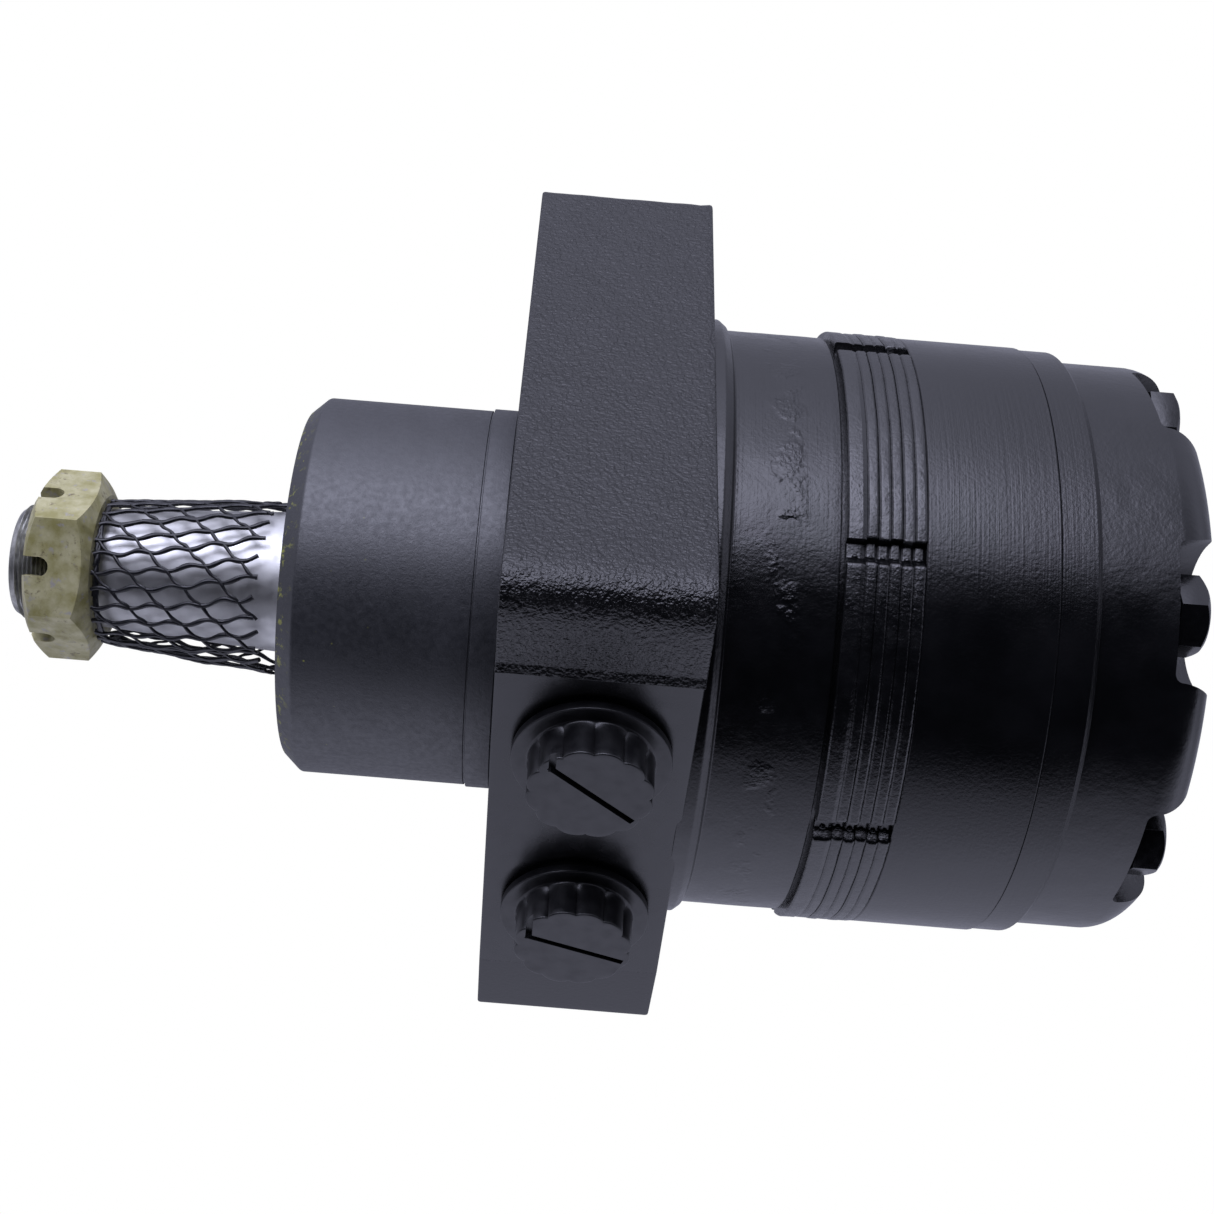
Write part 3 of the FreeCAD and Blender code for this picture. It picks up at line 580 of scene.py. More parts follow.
def make_block():
    """Square flange block: cast skin on its sides, machined faces and port pad."""
    section = block_section()
    edge = 0.6
    rows = [0.0, edge * 0.3, edge]
    steps = 18
    rows += [edge + (BLOCK_LENGTH - 2 * edge) * step / steps for step in range(1, steps)]
    rows += [BLOCK_LENGTH - edge, BLOCK_LENGTH - edge * 0.3, BLOCK_LENGTH]
    pulls = {0.0: edge * 0.55, BLOCK_LENGTH: edge * 0.55, edge * 0.3: edge * 0.16}
    pulls[BLOCK_LENGTH - edge * 0.3] = edge * 0.16
    bm = bmesh.new()
    rings = []
    for x in rows:
        ring = []
        for point in section:
            y, z = point.x, point.y
            scale = 1 - pulls.get(x, 0) / BLOCK_HALF
            swell = 0.0
            foot = y < -50 and z < 0
            if not (on_pad(y, z) or foot) and 1 < x < BLOCK_LENGTH - 1:
                swell = 0.10 * rough(x, y, z, 5) + 0.14 * rough(x, y, z, 17) - 0.12
            factor = scale + swell / BLOCK_HALF
            ring.append(bm.verts.new((x, y * factor, z * factor)))
        rings.append(ring)
    count = len(section)
    for one, two in zip(rings, rings[1:]):
        for index in range(count):
            following = (index + 1) % count
            face = bm.faces.new((one[index], one[following], two[following], two[index]))
            middle = face.calc_center_median()
            face.material_index = 1 if on_pad(middle.y, middle.z) else 0
            if middle.y < -50 and middle.z < -PAD_HALF:
                face.material_index = 3
    holes = []
    for side in (1, -1):
        for level in (1, -1):
            holes.append((side * BOLT_PLACE, level * BOLT_PLACE))
    for x, ring in ((0.0, rings[0]), (BLOCK_LENGTH, rings[-1])):
        add_drilled_face(bm, x, ring, holes)
    for y, z in holes:
        add_hole_wall(bm, y, z)
    mesh = finish_mesh(bm, "housing_block", 28)
    materials = [M["cast"], M["pad"], M["stack"], M["foot"]]
    return new_piece(
        "housing_block", mesh, materials, "motor_body", ("housing",)
    )


def circle_points(x, y, z, radius, count=40):
    return [
        Vector((x, y + radius * math.cos(angle), z + radius * math.sin(angle)))
        for angle in even_angles(count)
    ]


def add_drilled_face(bm, x, ring, holes):
    """Fills an end face round its four bolt holes."""
    edges = []
    count = len(ring)
    for index in range(count):
        edges.append(bm.edges.get((ring[index], ring[(index + 1) % count])))
    for y, z in holes:
        verts = [bm.verts.new(point) for point in circle_points(x, y, z, HOLE_R)]
        for index, vert in enumerate(verts):
            edges.append(bm.edges.new((vert, verts[(index + 1) % len(verts)])))
    filled = bmesh.ops.triangle_fill(bm, use_beauty=True, edges=edges)
    for face in filled["geom"]:
        if isinstance(face, bmesh.types.BMFace):
            face.material_index = 2


def add_hole_wall(bm, y, z):
    rings = []
    for x in (0.0, BLOCK_LENGTH / 2, BLOCK_LENGTH):
        rings.append([bm.verts.new(point) for point in circle_points(x, y, z, HOLE_R)])
    count = len(rings[0])
    for one, two in zip(rings, rings[1:]):
        for index in range(count):
            following = (index + 1) % count
            face = bm.faces.new((one[index], two[index], two[following], one[following]))
            face.material_index = 2


def make_barrel():
    """Cast barrel behind the block: a soft collar, then the rough-turned neck."""
    outline = [
        (BLOCK_LENGTH - 1, COLLAR_R - 0.2, 0),
        (BLOCK_LENGTH + 2.2, COLLAR_R, 1.0),
        (COLLAR_END + 0.1, COLLAR_R - 1.2, 0.8),
        (COLLAR_END + 0.6, BARREL_R, 0.5),
        (BARREL_END - 0.9, BARREL_R, 0.3),
        (BARREL_END - 0.75, BARREL_R - 1.3, 0.1),
        (BARREL_END, BARREL_R - 1.3, 0),
        (BARREL_END, 40.0, 0),
    ]
    line = divided(rounded(outline), 1.6)

    def cast_skin(x, r, angle):
        y, z = r * math.cos(angle), r * math.sin(angle)
        swell = 0.05 * rough(x, y, z, 4) + 0.10 * rough(x, y, z, 14)
        return x, r + (swell if r > BARREL_R - 0.5 else 0.0) - 0.05

    bm = lathe(line, even_angles(300), cast_skin)
    mesh = finish_mesh(bm, "housing_barrel")
    return new_piece(
        "housing_barrel", mesh, M["barrel"], "motor_body", ("housing",)
    )


# ---------------------------------------------------------------- manifold


def notch_angles():
    """Angles round the stack, close together across each notch."""
    angles = []
    reach = math.radians(4.2)
    for index in range(NOTCHES):
        middle = NOTCH_TURN + TAU * index / NOTCHES
        fine = 34
        angles += [middle - reach + 2 * reach * step / fine for step in range(fine + 1)]
        gap = TAU / NOTCHES - 2 * reach
        coarse = 34
        angles += [middle + reach + gap * step / coarse for step in range(1, coarse)]
    return angles


def smooth_step(value):
    value = min(max(value, 0.0), 1.0)
    return value * value * (3 - 2 * value)


def notch_depth(angle, shift):
    """How deep the rim is cut at an angle: a steep upper wall, a soft lower shoulder."""
    offset = angle - NOTCH_TURN - shift
    offset = (offset + TAU / NOTCHES / 2) % (TAU / NOTCHES) - TAU / NOTCHES / 2
    across = offset * MANIFOLD_R
    upper = smooth_step((across + 1.9) / 0.5)
    lower = smooth_step((3.3 - across) / 2.1)
    return 2.1 * upper * lower


def make_manifold():
    """The brazed manifold: one thicker plate, thin laminations, seven notches."""
    start = BARREL_END
    thin = (MANIFOLD_END - PLATE_END) / PLATES
    stations = [(start, PLATE_END)]
    for index in range(PLATES):
        stations.append((PLATE_END + index * thin, PLATE_END + (index + 1) * thin))
    bm = bmesh.new()
    angles = notch_angles()
    for index, (near, far) in enumerate(stations):
        # each plate stands a little in or out of its neighbours
        stand = (0.0, -0.10, 0.0, -0.12, -0.03, -0.14)[index]
        shift = math.radians((0.25, -0.1, 0.15, -0.2, 0.1, -0.15)[index])
        depth = 0.30
        left = 0.45 if index else 0.30
        right = 0.45 if index else 0.85
        outline = [
            (near, MANIFOLD_R - 3, 0),
            (near + 0.01, MANIFOLD_R - depth, 0.04),
            (near + left, MANIFOLD_R, 0.40),
            (far - right, MANIFOLD_R, 0.40),
            (far - 0.01, MANIFOLD_R - depth, 0.04),
            (far, MANIFOLD_R - 3, 0),
        ]
        line = rounded(outline, 4)

        def rim(x, r, angle, stand=stand, shift=shift):
            y, z = math.cos(angle) * MANIFOLD_R, math.sin(angle) * MANIFOLD_R
            wave = 0.06 * rough(x * 3, y, z, 7) + 0.05 * rough(x * 2, y, z, 2.2)
            cut = notch_depth(angle, shift)
            if r < MANIFOLD_R - 1:
                return x, r - cut * 0.2
            sway = 0.10 * rough(x * 0.2, y, z, 9)
            return x + sway, r + stand + wave * (0 if cut > 0.3 else 1) - cut

        join_into(bm, lathe(line, angles, rim))
    add_braze_beads(bm, stations)
    mesh = finish_mesh(bm, "manifold_stack", 40)
    nodes_replaced = ("manifold_end_plate", "manifold_plates")
    return new_piece(
        "manifold_stack", mesh, M["manifold"], "motor_body", nodes_replaced
    )


def add_braze_beads(bm, stations):
    """Small beads of braze on the floor of each notch, at the joints of the plates."""
    for index in range(NOTCHES):
        middle = NOTCH_TURN + TAU * index / NOTCHES
        for number, (near, far) in enumerate(stations):
            angle = middle + 1.5 / MANIFOLD_R
            radius = MANIFOLD_R - 1.9
            x = (near + far) / 2
            place = Vector((x, radius * math.cos(angle), radius * math.sin(angle)))
            bead = 0.5 + 0.12 * rough(x, index, number, 0.7)
            turn = Matrix.Translation(place) @ Matrix.Diagonal((1.3, 1, 1, 1))
            bmesh.ops.create_uvsphere(bm, u_segments=10, v_segments=8, radius=bead, matrix=turn)


# ---------------------------------------------------------------- output shaft


def make_shaft():
    """The whole turned shaft with its taper, helical thread and bell; the bell's splines are not cut."""
    land = TAPER_END
    outline = [
        (THREAD_END + 2.2, 0.05, 0),
        (THREAD_END + 0.9, 1.9, 0.1),
        (THREAD_END, 2.6, 0.1),
        (THREAD_END, THREAD_R - 1.15, 0.25),
        (THREAD_END + 1.1, THREAD_R, 0.05),
    ]
    front = rounded(outline, 3)
    thread_stop = NET_START + 0.1
    steps = int((thread_stop - THREAD_END - 1.1) / THREAD_PITCH * 8)
    span = thread_stop - THREAD_END - 1.1
    thread = [Vector((THREAD_END + 1.1 + span * step / steps, THREAD_R)) for step in range(1, steps)]
    depth = 0.78

    def helix(x, r, angle):
        turn = (x / THREAD_PITCH - angle / TAU) % 1.0
        valley = max(0.0, 1 - abs(turn - 0.5) / 0.44)
        fade = smooth_step((x - THREAD_END - 0.2) / 0.9)
        keep = r > THREAD_R - 1.3
        return x, r - (depth * valley * fade if keep else 0.0)

    bm = lathe(front + thread, even_angles(120), helix)
    body = [
        (thread_stop - 0.3, THREAD_R - 0.8, 0),
        (thread_stop, 13.15, 0.2),
        (land, 15.875, 0.1),
        (land, 19.0, 0.4),
        (-28.0, 19.0, 0),
        (-28.0, 22.0, 0.3),
        (-3.5, 22.0, 0),
        (-3.5, 33.0, 0.3),
        (3.5, 33.0, 0.3),
        (3.5, 29.0, 0),
        (SHAFT_END, 29.0, 0.3),
        (SHAFT_END, 17.0, 0.3),
        (26.0, 17.0, 0),
        (26.0, 14.0, 0),
        (3.0, 14.0, 0),
        (3.0, 0.05, 0),
    ]
    rest = lathe(divided(rounded(body, 3), 5), even_angles(120))
    split = len(bm.faces)
    join_into(bm, rest)
    bm.faces.ensure_lookup_table()
    for face in list(bm.faces)[split:]:
        face.material_index = 1
    mesh = finish_mesh(bm, "shaft_body", 30)
    return new_piece(
        "shaft_body", mesh, [M["thread"], M["shaft"]], "output_shaft", ("output_shaft",)
    )


# ---------------------------------------------------------------- castle nut


def prism(corners, depth_vector):
    """A closed prism from corners and the vector to its far end."""
    bm = bmesh.new()
    near = [bm.verts.new(corner) for corner in corners]
    far = [bm.verts.new(corner + depth_vector) for corner in corners]
    bm.faces.new(near)
    bm.faces.new(list(reversed(far)))
    count = len(near)
    for index in range(count):
        following = (index + 1) % count
        bm.faces.new((near[index], near[following], far[following], far[index]))
    bmesh.ops.recalc_face_normals(bm, faces=bm.faces)
    return bm


def raw_object(name, bm):
    """An unlinked-later helper object in metres."""
    bmesh.ops.recalc_face_normals(bm, faces=bm.faces)
    bmesh.ops.scale(bm, vec=(MM, MM, MM), verts=bm.verts)
    mesh = bpy.data.meshes.new(name)
    bm.to_mesh(mesh)
    bm.free()
    helper = bpy.data.objects.new(name, mesh)
    bpy.context.scene.collection.objects.link(helper)
    return helper


def cut_with(piece, tool, operation="DIFFERENCE"):
    """Applies one boolean and removes the tool."""
    change = piece.modifiers.new("cut", "BOOLEAN")
    change.operation = operation
    change.solver = "EXACT"
    change.object = tool
    bpy.context.view_layer.update()
    apply_modifiers(piece)
    bpy.data.objects.remove(tool)


def bevelled(piece, width_mm, segments=2, slot=-1):
    """Rounds a piece's sharp edges for good."""
    change = piece.modifiers.new("bevel", "BEVEL")
    change.width = width_mm * MM
    change.segments = segments
    change.limit_method = "ANGLE"
    change.angle_limit = math.radians(28)
    change.material = slot
    change.harden_normals = False
    bpy.context.view_layer.update()
    apply_modifiers(piece)
    piece.data.shade_smooth()
    piece.data.set_sharp_from_angle(angle=math.radians(38))


def lathe_tool(name, outline, count=96):
    """A closed turned solid as a boolean tool."""
    line = [Vector(point) for point in outline]
    return raw_object(name, lathe(line, even_angles(count), closed=True))


def make_nut():
    """Hexagon with chamfered ends and a round-bottomed slot in each flat."""
    flats = 36.5
    corner = flats / math.sqrt(3)
    length = NUT_END - NUT_START
    corners = []
    for index in range(6):
        angle = NUT_TURN + TAU * (index + 0.5) / 6
        corners.append(Vector((NUT_START, corner * math.cos(angle), corner * math.sin(angle))))
    nut = raw_object("castle_nut_body", prism(corners, Vector((length, 0, 0))))
    slope = math.tan(math.radians(30))
    front_r = 16.9
    rear_r = 16.2
    wide = corner + 1
    envelope = lathe_tool(
        "envelope",
        [
            (NUT_START, THREAD_R - 0.1),
            (NUT_START, front_r),
            (NUT_START + (wide - front_r) * slope, wide),
            (NUT_END - (wide - rear_r) * slope, wide),
            (NUT_END, rear_r),
            (NUT_END, THREAD_R - 0.1),
        ],
        192,
    )
    cut_with(nut, envelope, "INTERSECT")
    mouth = lathe_tool(
        "mouth",
        [
            (NUT_START - 1, 6.0),
            (NUT_START - 1, THREAD_R + 2.0),
            (NUT_START + 0.9, THREAD_R - 0.4),
            (NUT_START + 0.9, 6.0),
        ],
    )
    cut_with(nut, mouth)
    for index in range(6):
        cut_with(nut, slot_tool(NUT_TURN + TAU * index / 6))
    nut.data.materials.clear()
    nut.data.materials.append(M["zinc"])
    nut.data.materials.append(M["worn"])
    bevelled(nut, 0.34, 3, 1)
    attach(nut, "output_shaft")
    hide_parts("castle_nut")
    return nut


def slot_tool(angle):
    """A cutter for one slot: straight sides and a half-round end."""
    half = 2.1
    floor = NUT_START + 5.85
    outline = [(NUT_START - 1, -half), (floor - half, -half)]
    steps = 12
    for step in range(1, steps):
        bend = -math.pi / 2 + math.pi * step / steps
        outline.append((floor - half + half * math.cos(bend), half * math.sin(bend)))
    outline += [(floor - half, half), (NUT_START - 1, half)]
    out = Vector((0, math.cos(angle), math.sin(angle)))
    side = Vector((0, -out.z, out.y))
    corners = [Vector((x, 0, 0)) + side * across + out * 8 for x, across in outline]
    return raw_object("slot", prism(corners, out * 18))


# ---------------------------------------------------------------- netting


def net_radius(x):
    """The sleeve's radius at a place along the shaft."""
    t = (x - NET_START) / (NET_END - NET_START)
    bulge = 0.45 * math.sin(math.pi * min(max(t, 0), 1))
    return 15.55 + (18.6 - 15.55) * t + bulge


def net_point(x, arc, lift=0.0):
    """A point of the sleeve from its place along the shaft and round it."""
    t = (x - NET_START) / (NET_END - NET_START)
    angle = arc / NET_R
    drop = 0.7 + 0.65 * t
    sag = NET_SAG_SIDE
    loose = 0.35 * rough(x, angle * 9, 3.1, 7) + lift
    below = max(0.0, math.cos(angle - sag)) * 0.5 * t
    radius = net_radius(x) + loose + below
    y = radius * math.cos(angle) + drop * math.cos(sag)
    z = radius * math.sin(angle) + drop * math.sin(sag)
    return Vector((x, y, z))


def add_strand(bm, path, width, sides=7):
    """A round strand along points, flattened a little against the shaft."""
    rings = []
    last = len(path) - 1
    for index, point in enumerate(path):
        ahead = path[min(index + 1, last)] - path[max(index - 1, 0)]
        ahead.normalize()
        outward = Vector((0, point.y, point.z)).normalized()
        side = ahead.cross(outward).normalized()
        outward = side.cross(ahead).normalized()
        thick = width(index / last)
        ring = []
        for angle in even_angles(sides):
            offset = side * math.cos(angle) * thick * 0.5 + outward * math.sin(angle) * thick * 0.44
            ring.append(bm.verts.new(point + offset))
        rings.append(ring)
    for one, two in zip(rings, rings[1:]):
        for index in range(sides):
            following = (index + 1) % sides
            bm.faces.new((one[index], one[following], two[following], two[index]))
    bm.faces.new(list(reversed(rings[0])))
    bm.faces.new(rings[-1])


def make_netting():
    """Extruded net: near-axial strands crossed by slanting ones, joined where they meet."""
    around = TAU * NET_R
    first_count = 26
    second_count = 13
    first_gap = around / first_count
    second_gap = around / second_count
    first_slope = -0.20
    second_slope = 0.86
    meet = second_slope - first_slope
    bm = bmesh.new()
    step_mm = 0.55
    bases = [index * first_gap for index in range(first_count)]
    gathered = (56, 71, 84, 97, 206, 219, 233, 247)
    bases += [math.radians(angle) * NET_R for angle in gathered]
    for index, place in enumerate(bases):
        base = place + 0.5 * rough(index * 3.7, 0, 0, 1)
        ragged = net_cut(base, first_slope, index * 1.9)
        sway = 0.42 + 0.25 * rough(index * 1.3, 4, 0, 1)
        path = strand_path(base, first_slope, second_gap / meet, base / meet, sway, ragged, step_mm, 0.0)
        add_strand(bm, path, lambda t, k=index: 1.06 + 0.16 * math.sin(40 * t + k))
    for index in range(second_count):
        base = index * second_gap + 0.7 * rough(index * 2.3, 9, 0, 1)
        ragged = net_cut(base, second_slope, index * 2.9)
        path = strand_path(base, second_slope, first_gap / meet, -base / meet, -0.30, ragged, step_mm, 0.12)
        add_strand(bm, path, lambda t, k=index: 0.76 + 0.12 * math.sin(80 * t + k))
    add_bunch(bm)
    mesh = finish_mesh(bm, "netting_strands", 60)
    return new_piece(
        "netting_strands", mesh, M["net"], "output_shaft", ("netting_sleeve",)
    )


def net_cut(base, slope, seed):
    """How far short of the nose a strand is cut: most on the side above the ports."""
    angle = (base + slope * (NET_END - NET_START)) / NET_R
    facing = math.cos(angle - NET_OPEN_SIDE)
    return -0.4 - 5.2 * smooth_step((facing + 0.15) / 0.6) - 2.6 * abs(rough(seed, 5.5, 0, 1))


def strand_path(base, slope, period, phase, sway, ragged, step_mm, lift):
    """One strand of the net from the nut to its cut end."""
    end = NET_END + ragged
    count = int((end - NET_START - 0.3) / step_mm)
    path = []
    for step in range(count + 1):
        x = NET_START + 0.3 + (end - NET_START - 0.3) * step / count
        reach = x - NET_START
        swing = sway * math.sin(TAU * (reach + phase) / period)
        drift = 0.55 * rough(reach, base * 0.4, 7.7, 9)
        curve = 1.1 * math.sin(math.pi * reach / (NET_END - NET_START))
        arc = base + slope * reach + swing + drift + curve * (1 if slope < 0 else 0.4)
        path.append(net_point(x, arc, lift))
    return path


def add_bunch(bm):
    """Strands crumpled together against the nut."""
    for index in range(16):
        start = TAU * (0.10 + 0.038 * index)
        sweep = 1.2 + 0.9 * abs(rough(index, 2, 2, 1.3))
        path = []
        steps = 36
        for step in range(steps + 1):
            t = step / steps
            angle = start + sweep * t
            x = NET_START + 0.5 + 0.12 * index + 1.2 * abs(rough(t * 4, index, 0, 1))
            lift = -0.25 + 0.5 * rough(index, t * 5, 4, 1)
            path.append(net_point(x, angle * NET_R, lift))
        add_strand(bm, path, lambda t: 0.85)


# ---------------------------------------------------------------- port plugs


def make_plug(name, replaced, height, elbow, tip):
    """Moulded plug: rimmed flange, lobed head and a narrow bent groove in its end."""
    place = Vector((19.05, low(replaced).y, height))
    flange_r = 15.2
    head_r = 12.0
    head_height = 9.8
    face = 0.0
    outline = [
        (head_height + 8.0, 10.8, 0),
        (head_height, 10.8, 0.2),
        (head_height, flange_r, 0.35),
        (head_height - 2.0, flange_r, 0.3),
        (head_height - 2.0, head_r, 0.5),
        (face, head_r, 0.35),
        (face, head_r - 2.0, 0.2),
        (face, 0.05, 0),
    ]
    line = divided(rounded(outline, 4), 1.2)

    def lobes(x, r, angle):
        on_head = head_r - 2.2 < r < head_r + 0.4 and x < head_height - 1.7
        if not on_head:
            return x, r
        wave = abs(math.sin(angle * 6))
        rise = smooth_step((head_height - 1.9 - x) / 1.5)
        return x, r - 0.85 * (1 - wave ** 0.7) * rise

    bm = lathe(line, even_angles(288), lobes)
    mesh = finish_mesh(bm, name, 30)
    plug = bpy.data.objects.new(name, mesh)
    bpy.context.scene.collection.objects.link(plug)
    for tool in groove_tools(elbow, tip):
        cut_with(plug, tool)
    stand = Matrix.Translation(place * MM) @ Matrix.Rotation(math.radians(90), 4, "Z")
    plug.data.transform(stand)
    plug.data.shade_smooth()
    plug.data.set_sharp_from_angle(angle=math.radians(30))
    plug.data.materials.clear()
    plug.data.materials.append(M["plug"])
    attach(plug, "motor_body")
    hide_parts(replaced)
    return plug


def groove_tools(corner, tip):
    """Cutters for a bent groove in the end: a long leg and an upright one from its corner.

    Places are given as seen from the port side, across and up from the plug's middle."""
    tools = []
    half = 0.66
    elbow = Vector((0, -corner[0], corner[1]))
    target = Vector((0, -tip[0], tip[1]))
    along = (target - elbow).normalized()
    across = Vector((0, -along.z, along.y))
    length = (target - elbow).length
    upright = Vector((0, 0, 1))
    for way, side, reach in ((along, across, length), (upright, Vector((0, 1, 0)), 6.5)):
        corners = [
            elbow - side * half - way * half,
            elbow + side * half - way * half,
            elbow + side * half + way * reach,
            elbow - side * half + way * reach,
        ]
        corners = [point + Vector((-1, 0, 0)) for point in corners]
        tools.append(raw_object("groove", prism(corners, Vector((2.4, 0, 0)))))
    return tools


# ---------------------------------------------------------------- bolts and carried nodes


def make_bolt_heads():
    """Hex heads with washer faces, chamfered crowns and their shanks."""
    head_end = high("cover_bolts").x
    head_start = head_end - 6.3
    flats = 14.29
    corner = flats / math.sqrt(3)
    circle = 54.0
    start = low("cover_bolts").x
    corners = []
    for index in range(6):
        angle = TAU * index / 6
        corners.append(Vector((head_start + 0.4, corner * math.cos(angle), corner * math.sin(angle))))
    head = raw_object("cover_bolt_heads", prism(corners, Vector((head_end - head_start - 0.4, 0, 0))))
    crown = lathe_tool(
        "crown",
        [
            (head_start - 1, 0.05),
            (head_start - 1, corner + 1),
            (head_end - 1.3, corner + 0.2),
            (head_end, flats / 2 - 0.5),
            (head_end, 0.05),
        ],
    )
    cut_with(head, crown, "INTERSECT")
    bevelled(head, 0.3, 3)
    bm = bmesh.new()
    bm.from_mesh(head.data)
    bpy.data.objects.remove(head)
    bmesh.ops.scale(bm, vec=(1 / MM, 1 / MM, 1 / MM), verts=bm.verts)
    shank = [
        (start, 0.05, 0),
        (start, 4.7, 0.5),
        (head_start, 4.7, 0),
        (head_start, flats / 2 - 0.25, 0.1),
        (head_start + 0.5, flats / 2 - 0.25, 0.1),
        (head_start + 0.5, 2.0, 0),
    ]
    join_into(bm, lathe(rounded(shank, 3), even_angles(48)))
    one = bpy.data.meshes.new("one_bolt")
    bm.to_mesh(one)
    bm.free()
    every = bmesh.new()
    for index in range(7):
        spot = math.pi + TAU * index / 7
        twist = 0.7 * index
        copy = bmesh.new()
        copy.from_mesh(one)
        bmesh.ops.rotate(copy, matrix=Matrix.Rotation(twist, 3, "X"), verts=copy.verts)
        shift = Vector((0, circle * math.cos(spot), circle * math.sin(spot)))
        bmesh.ops.translate(copy, vec=shift, verts=copy.verts)
        join_into(every, copy)
    bpy.data.meshes.remove(one)
    mesh = finish_mesh(every, "cover_bolt_set", 30)
    return new_piece(
        "cover_bolt_set", mesh, M["bolt"], "motor_body", ("cover_bolts",)
    )


CARRIED = {
    "stack": ("rotor_ring", "balance_plate"),
    "cover": ("end_cover",),
    "rubber": ("body_seals", "dust_seal", "shaft_seal", "port_plug_seals"),
    "bearing": (
        "seal_snap_ring",
        "seal_backup_washer",
        "front_bearing_race",
        "rear_bearing_race",
        "front_thrust_washer",
        "rear_thrust_washer",
        "front_thrust_runner",
        "rear_thrust_runner",
        "front_bearing_cage",
        "front_bearing_rollers",
        "rear_bearing_cage",
        "rear_bearing_rollers",
        "front_thrust_needles",
        "front_thrust_cage",
        "rear_thrust_needles",
        "rear_thrust_cage",
        "rotor",
        "drive_link",
        "drive_spacer",
        "shaft_key",
        *("roller_%d" % number for number in range(1, 8)),
    ),
}


def finish_carried_nodes():
    """Gives each CAD node that still shows its material."""
    for finish, names in CARRIED.items():
        for name in names:
            mesh = nodes[name].data
            mesh.materials.clear()
            mesh.materials.append(M[finish])


# ---------------------------------------------------------------- room and camera


# Radiance of the room by angle in the plane across the shaft, from the port side (0)
# over the top (90) to the back (180) and under the table (-90): a pale back wall and
# table, a dark room on the near side.
ROOM = (
    (-180, 0.42), (-150, 0.36), (-106, 0.38), (-90, 0.50), (-79, 0.66), (-62, 0.85),
    (-49, 0.98), (-37, 0.80), (-26, 0.66), (-16, 0.45), (-10, 0.12), (-5, 0.0),
    (66, 0.0), (71, 0.15), (75, 0.62), (95, 0.64), (118, 0.86), (130, 0.86),
    (147, 0.70), (163, 0.52), (180, 0.42),
)

# What the strip lamp overhead adds to it, by the same angle.
LAMP = (
    (-180, 0.0), (64, 0.0), (70, 0.8), (77, 2.9), (84, 3.6), (96, 3.9), (106, 2.7),
    (117, 1.2), (130, 0.65), (144, 0.35), (163, 0.1), (180, 0.0),
)

# The ramps hold shares of this radiance, because their colours stop at 1.
BRIGHTEST = 5.0


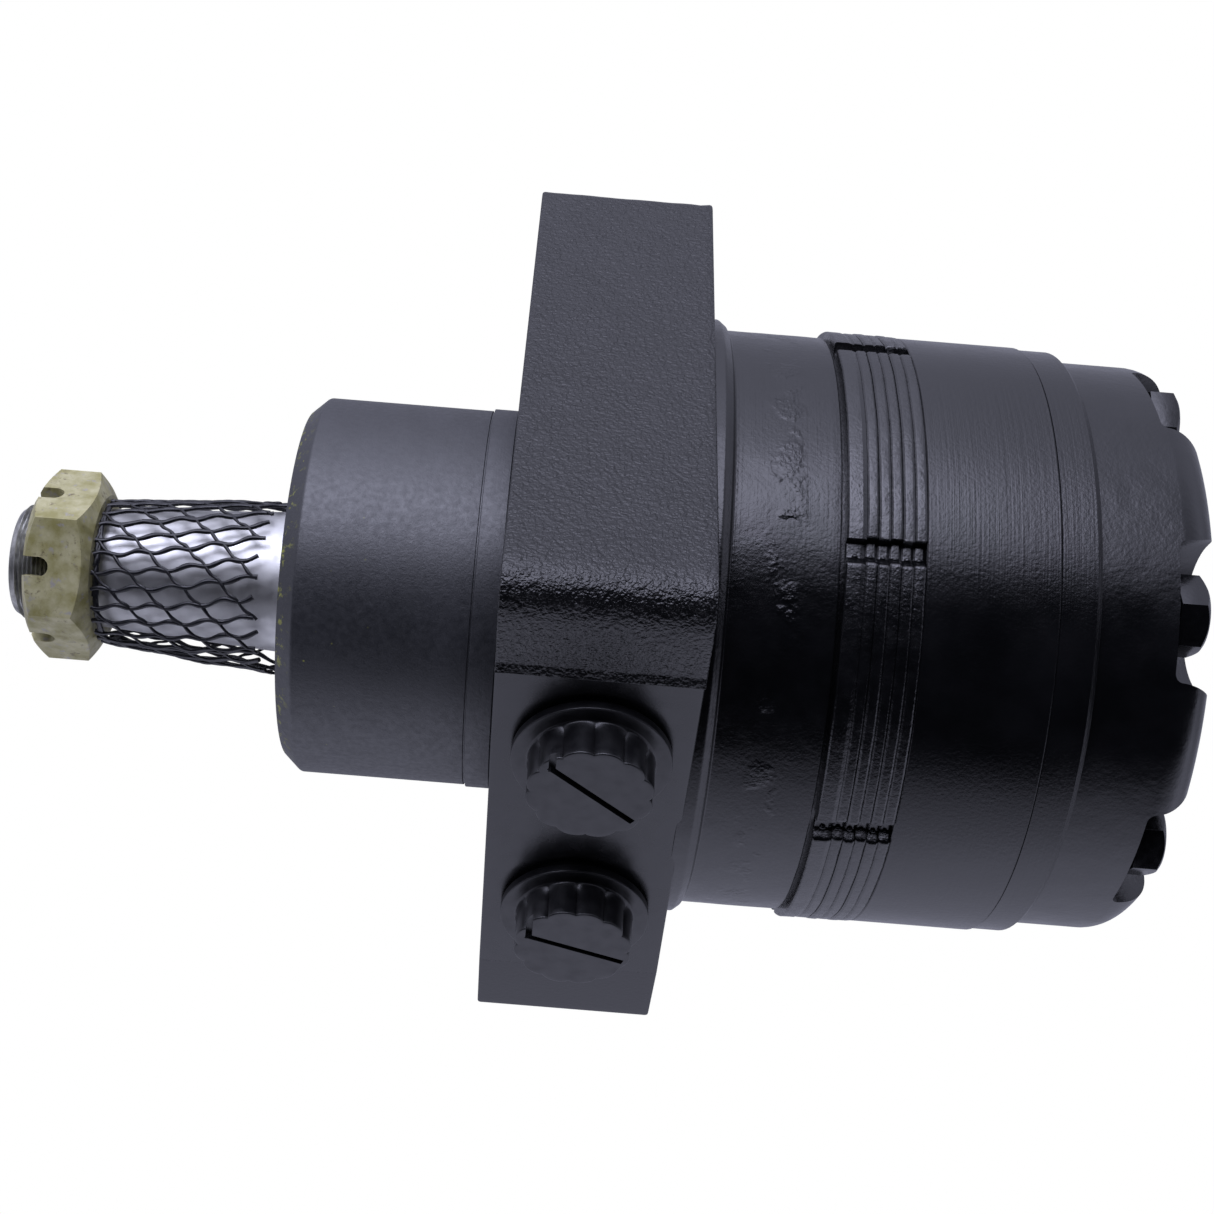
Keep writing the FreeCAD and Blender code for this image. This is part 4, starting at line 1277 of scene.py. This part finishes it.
def make_room():
    """A dark room with a bright strip overhead; the camera itself sees pure white."""
    world = bpy.data.worlds.new("room")
    world.use_nodes = True
    tree = world.node_tree
    tree.nodes.clear()

    def add(kind, **settings):
        node = tree.nodes.new(kind)
        for name, value in settings.items():
            setattr(node, name, value)
        return node

    def join(node, *inputs):
        for socket, value in zip(node.inputs, inputs):
            if isinstance(value, (int, float)):
                socket.default_value = value
            else:
                tree.links.new(value, socket)
        return node.outputs[0]

    def ramp(position, stops):
        node = add("ShaderNodeValToRGB")
        ramp_stops = node.color_ramp.elements
        while len(ramp_stops) < len(stops):
            ramp_stops.new(0.5)
        for element, (angle, value) in zip(ramp_stops, stops):
            element.position = (angle + 180) / 360
            element.color = (value / BRIGHTEST,) * 3 + (1,)
        tree.links.new(position, node.inputs["Fac"])
        return node.outputs["Color"]

    direction = add("ShaderNodeTexCoord").outputs["Generated"]
    parts = add("ShaderNodeSeparateXYZ")
    tree.links.new(direction, parts.inputs["Vector"])
    x, y, z = (parts.outputs[name] for name in "XYZ")
    near = join(add("ShaderNodeMath", operation="MULTIPLY"), y, -1.0)
    angle = join(add("ShaderNodeMath", operation="ARCTAN2"), z, near)
    share = join(add("ShaderNodeMath", operation="MULTIPLY_ADD"), angle, 1 / TAU, 0.5)
    right = add("ShaderNodeMapRange", interpolation_type="SMOOTHSTEP")
    right = join(right, x, 0.09, 0.36, 1.0, 0.0)
    left = add("ShaderNodeMapRange", interpolation_type="SMOOTHSTEP")
    left = join(left, x, -0.75, -0.45, 0.0, 1.0)
    width = join(add("ShaderNodeMath", operation="MULTIPLY"), right, left)
    lamp = ramp(share, LAMP)
    scaled = add("ShaderNodeVectorMath", operation="SCALE")
    tree.links.new(lamp, scaled.inputs[0])
    tree.links.new(width, scaled.inputs["Scale"])
    total = join(add("ShaderNodeVectorMath", operation="ADD"), scaled.outputs[0], ramp(share, ROOM))
    tinted = join(add("ShaderNodeVectorMath", operation="MULTIPLY"), total)
    bluish = (1.0, 1.02, 1.30)
    tinted.node.inputs[1].default_value = bluish
    room = add("ShaderNodeBackground")
    room.inputs["Strength"].default_value = BRIGHTEST
    tree.links.new(tinted, room.inputs["Color"])
    white = add("ShaderNodeBackground")
    mixed = add("ShaderNodeMixShader")
    tree.links.new(add("ShaderNodeLightPath").outputs["Is Camera Ray"], mixed.inputs[0])
    white.inputs["Color"].default_value = (1, 1, 1, 1)
    tree.links.new(room.outputs[0], mixed.inputs[1])
    tree.links.new(white.outputs[0], mixed.inputs[2])
    output = add("ShaderNodeOutputWorld")
    tree.links.new(mixed.outputs[0], output.inputs["Surface"])
    bpy.context.scene.world = world


def make_camera():
    """Above the port side, square to the shaft, with the shaft falling to the right."""
    distance = 0.40458
    elevation = math.radians(43.6)
    roll = math.radians(4.6)
    foot = Vector((0.00883, 0, 0))
    back = Vector((0, -math.cos(elevation), math.sin(elevation)))
    rise = Vector((0, math.sin(elevation), math.cos(elevation)))
    along = Vector((1, 0, 0))
    right = along * math.cos(roll) + rise * math.sin(roll)
    upward = rise * math.cos(roll) - along * math.sin(roll)
    data = bpy.data.cameras.new("camera")
    data.lens = 53.85
    data.sensor_width = 36.0
    data.shift_x = 0.0476
    data.shift_y = -0.003
    data.clip_start = 0.02
    camera = bpy.data.objects.new("camera", data)
    turn = Matrix((right, upward, back)).transposed()
    camera.matrix_world = Matrix.Translation(foot + back * distance) @ turn.to_4x4()
    bpy.context.scene.collection.objects.link(camera)
    bpy.context.scene.camera = camera


# ---------------------------------------------------------------- build

make_camera()
make_room()
make_nose()
make_block()
make_barrel()
make_manifold()
make_shaft()
make_nut()
make_netting()
make_plug("port_plug_upper_cap", "port_plug_upper", 23.8, (-7.3, 6.5), (8.5, -6.5))
make_plug("port_plug_lower_cap", "port_plug_lower", -23.8, (-9.0, 3.0), (10.4, -3.2))
make_bolt_heads()
finish_carried_nodes()

bpy.context.scene.view_settings.view_transform = "Standard"
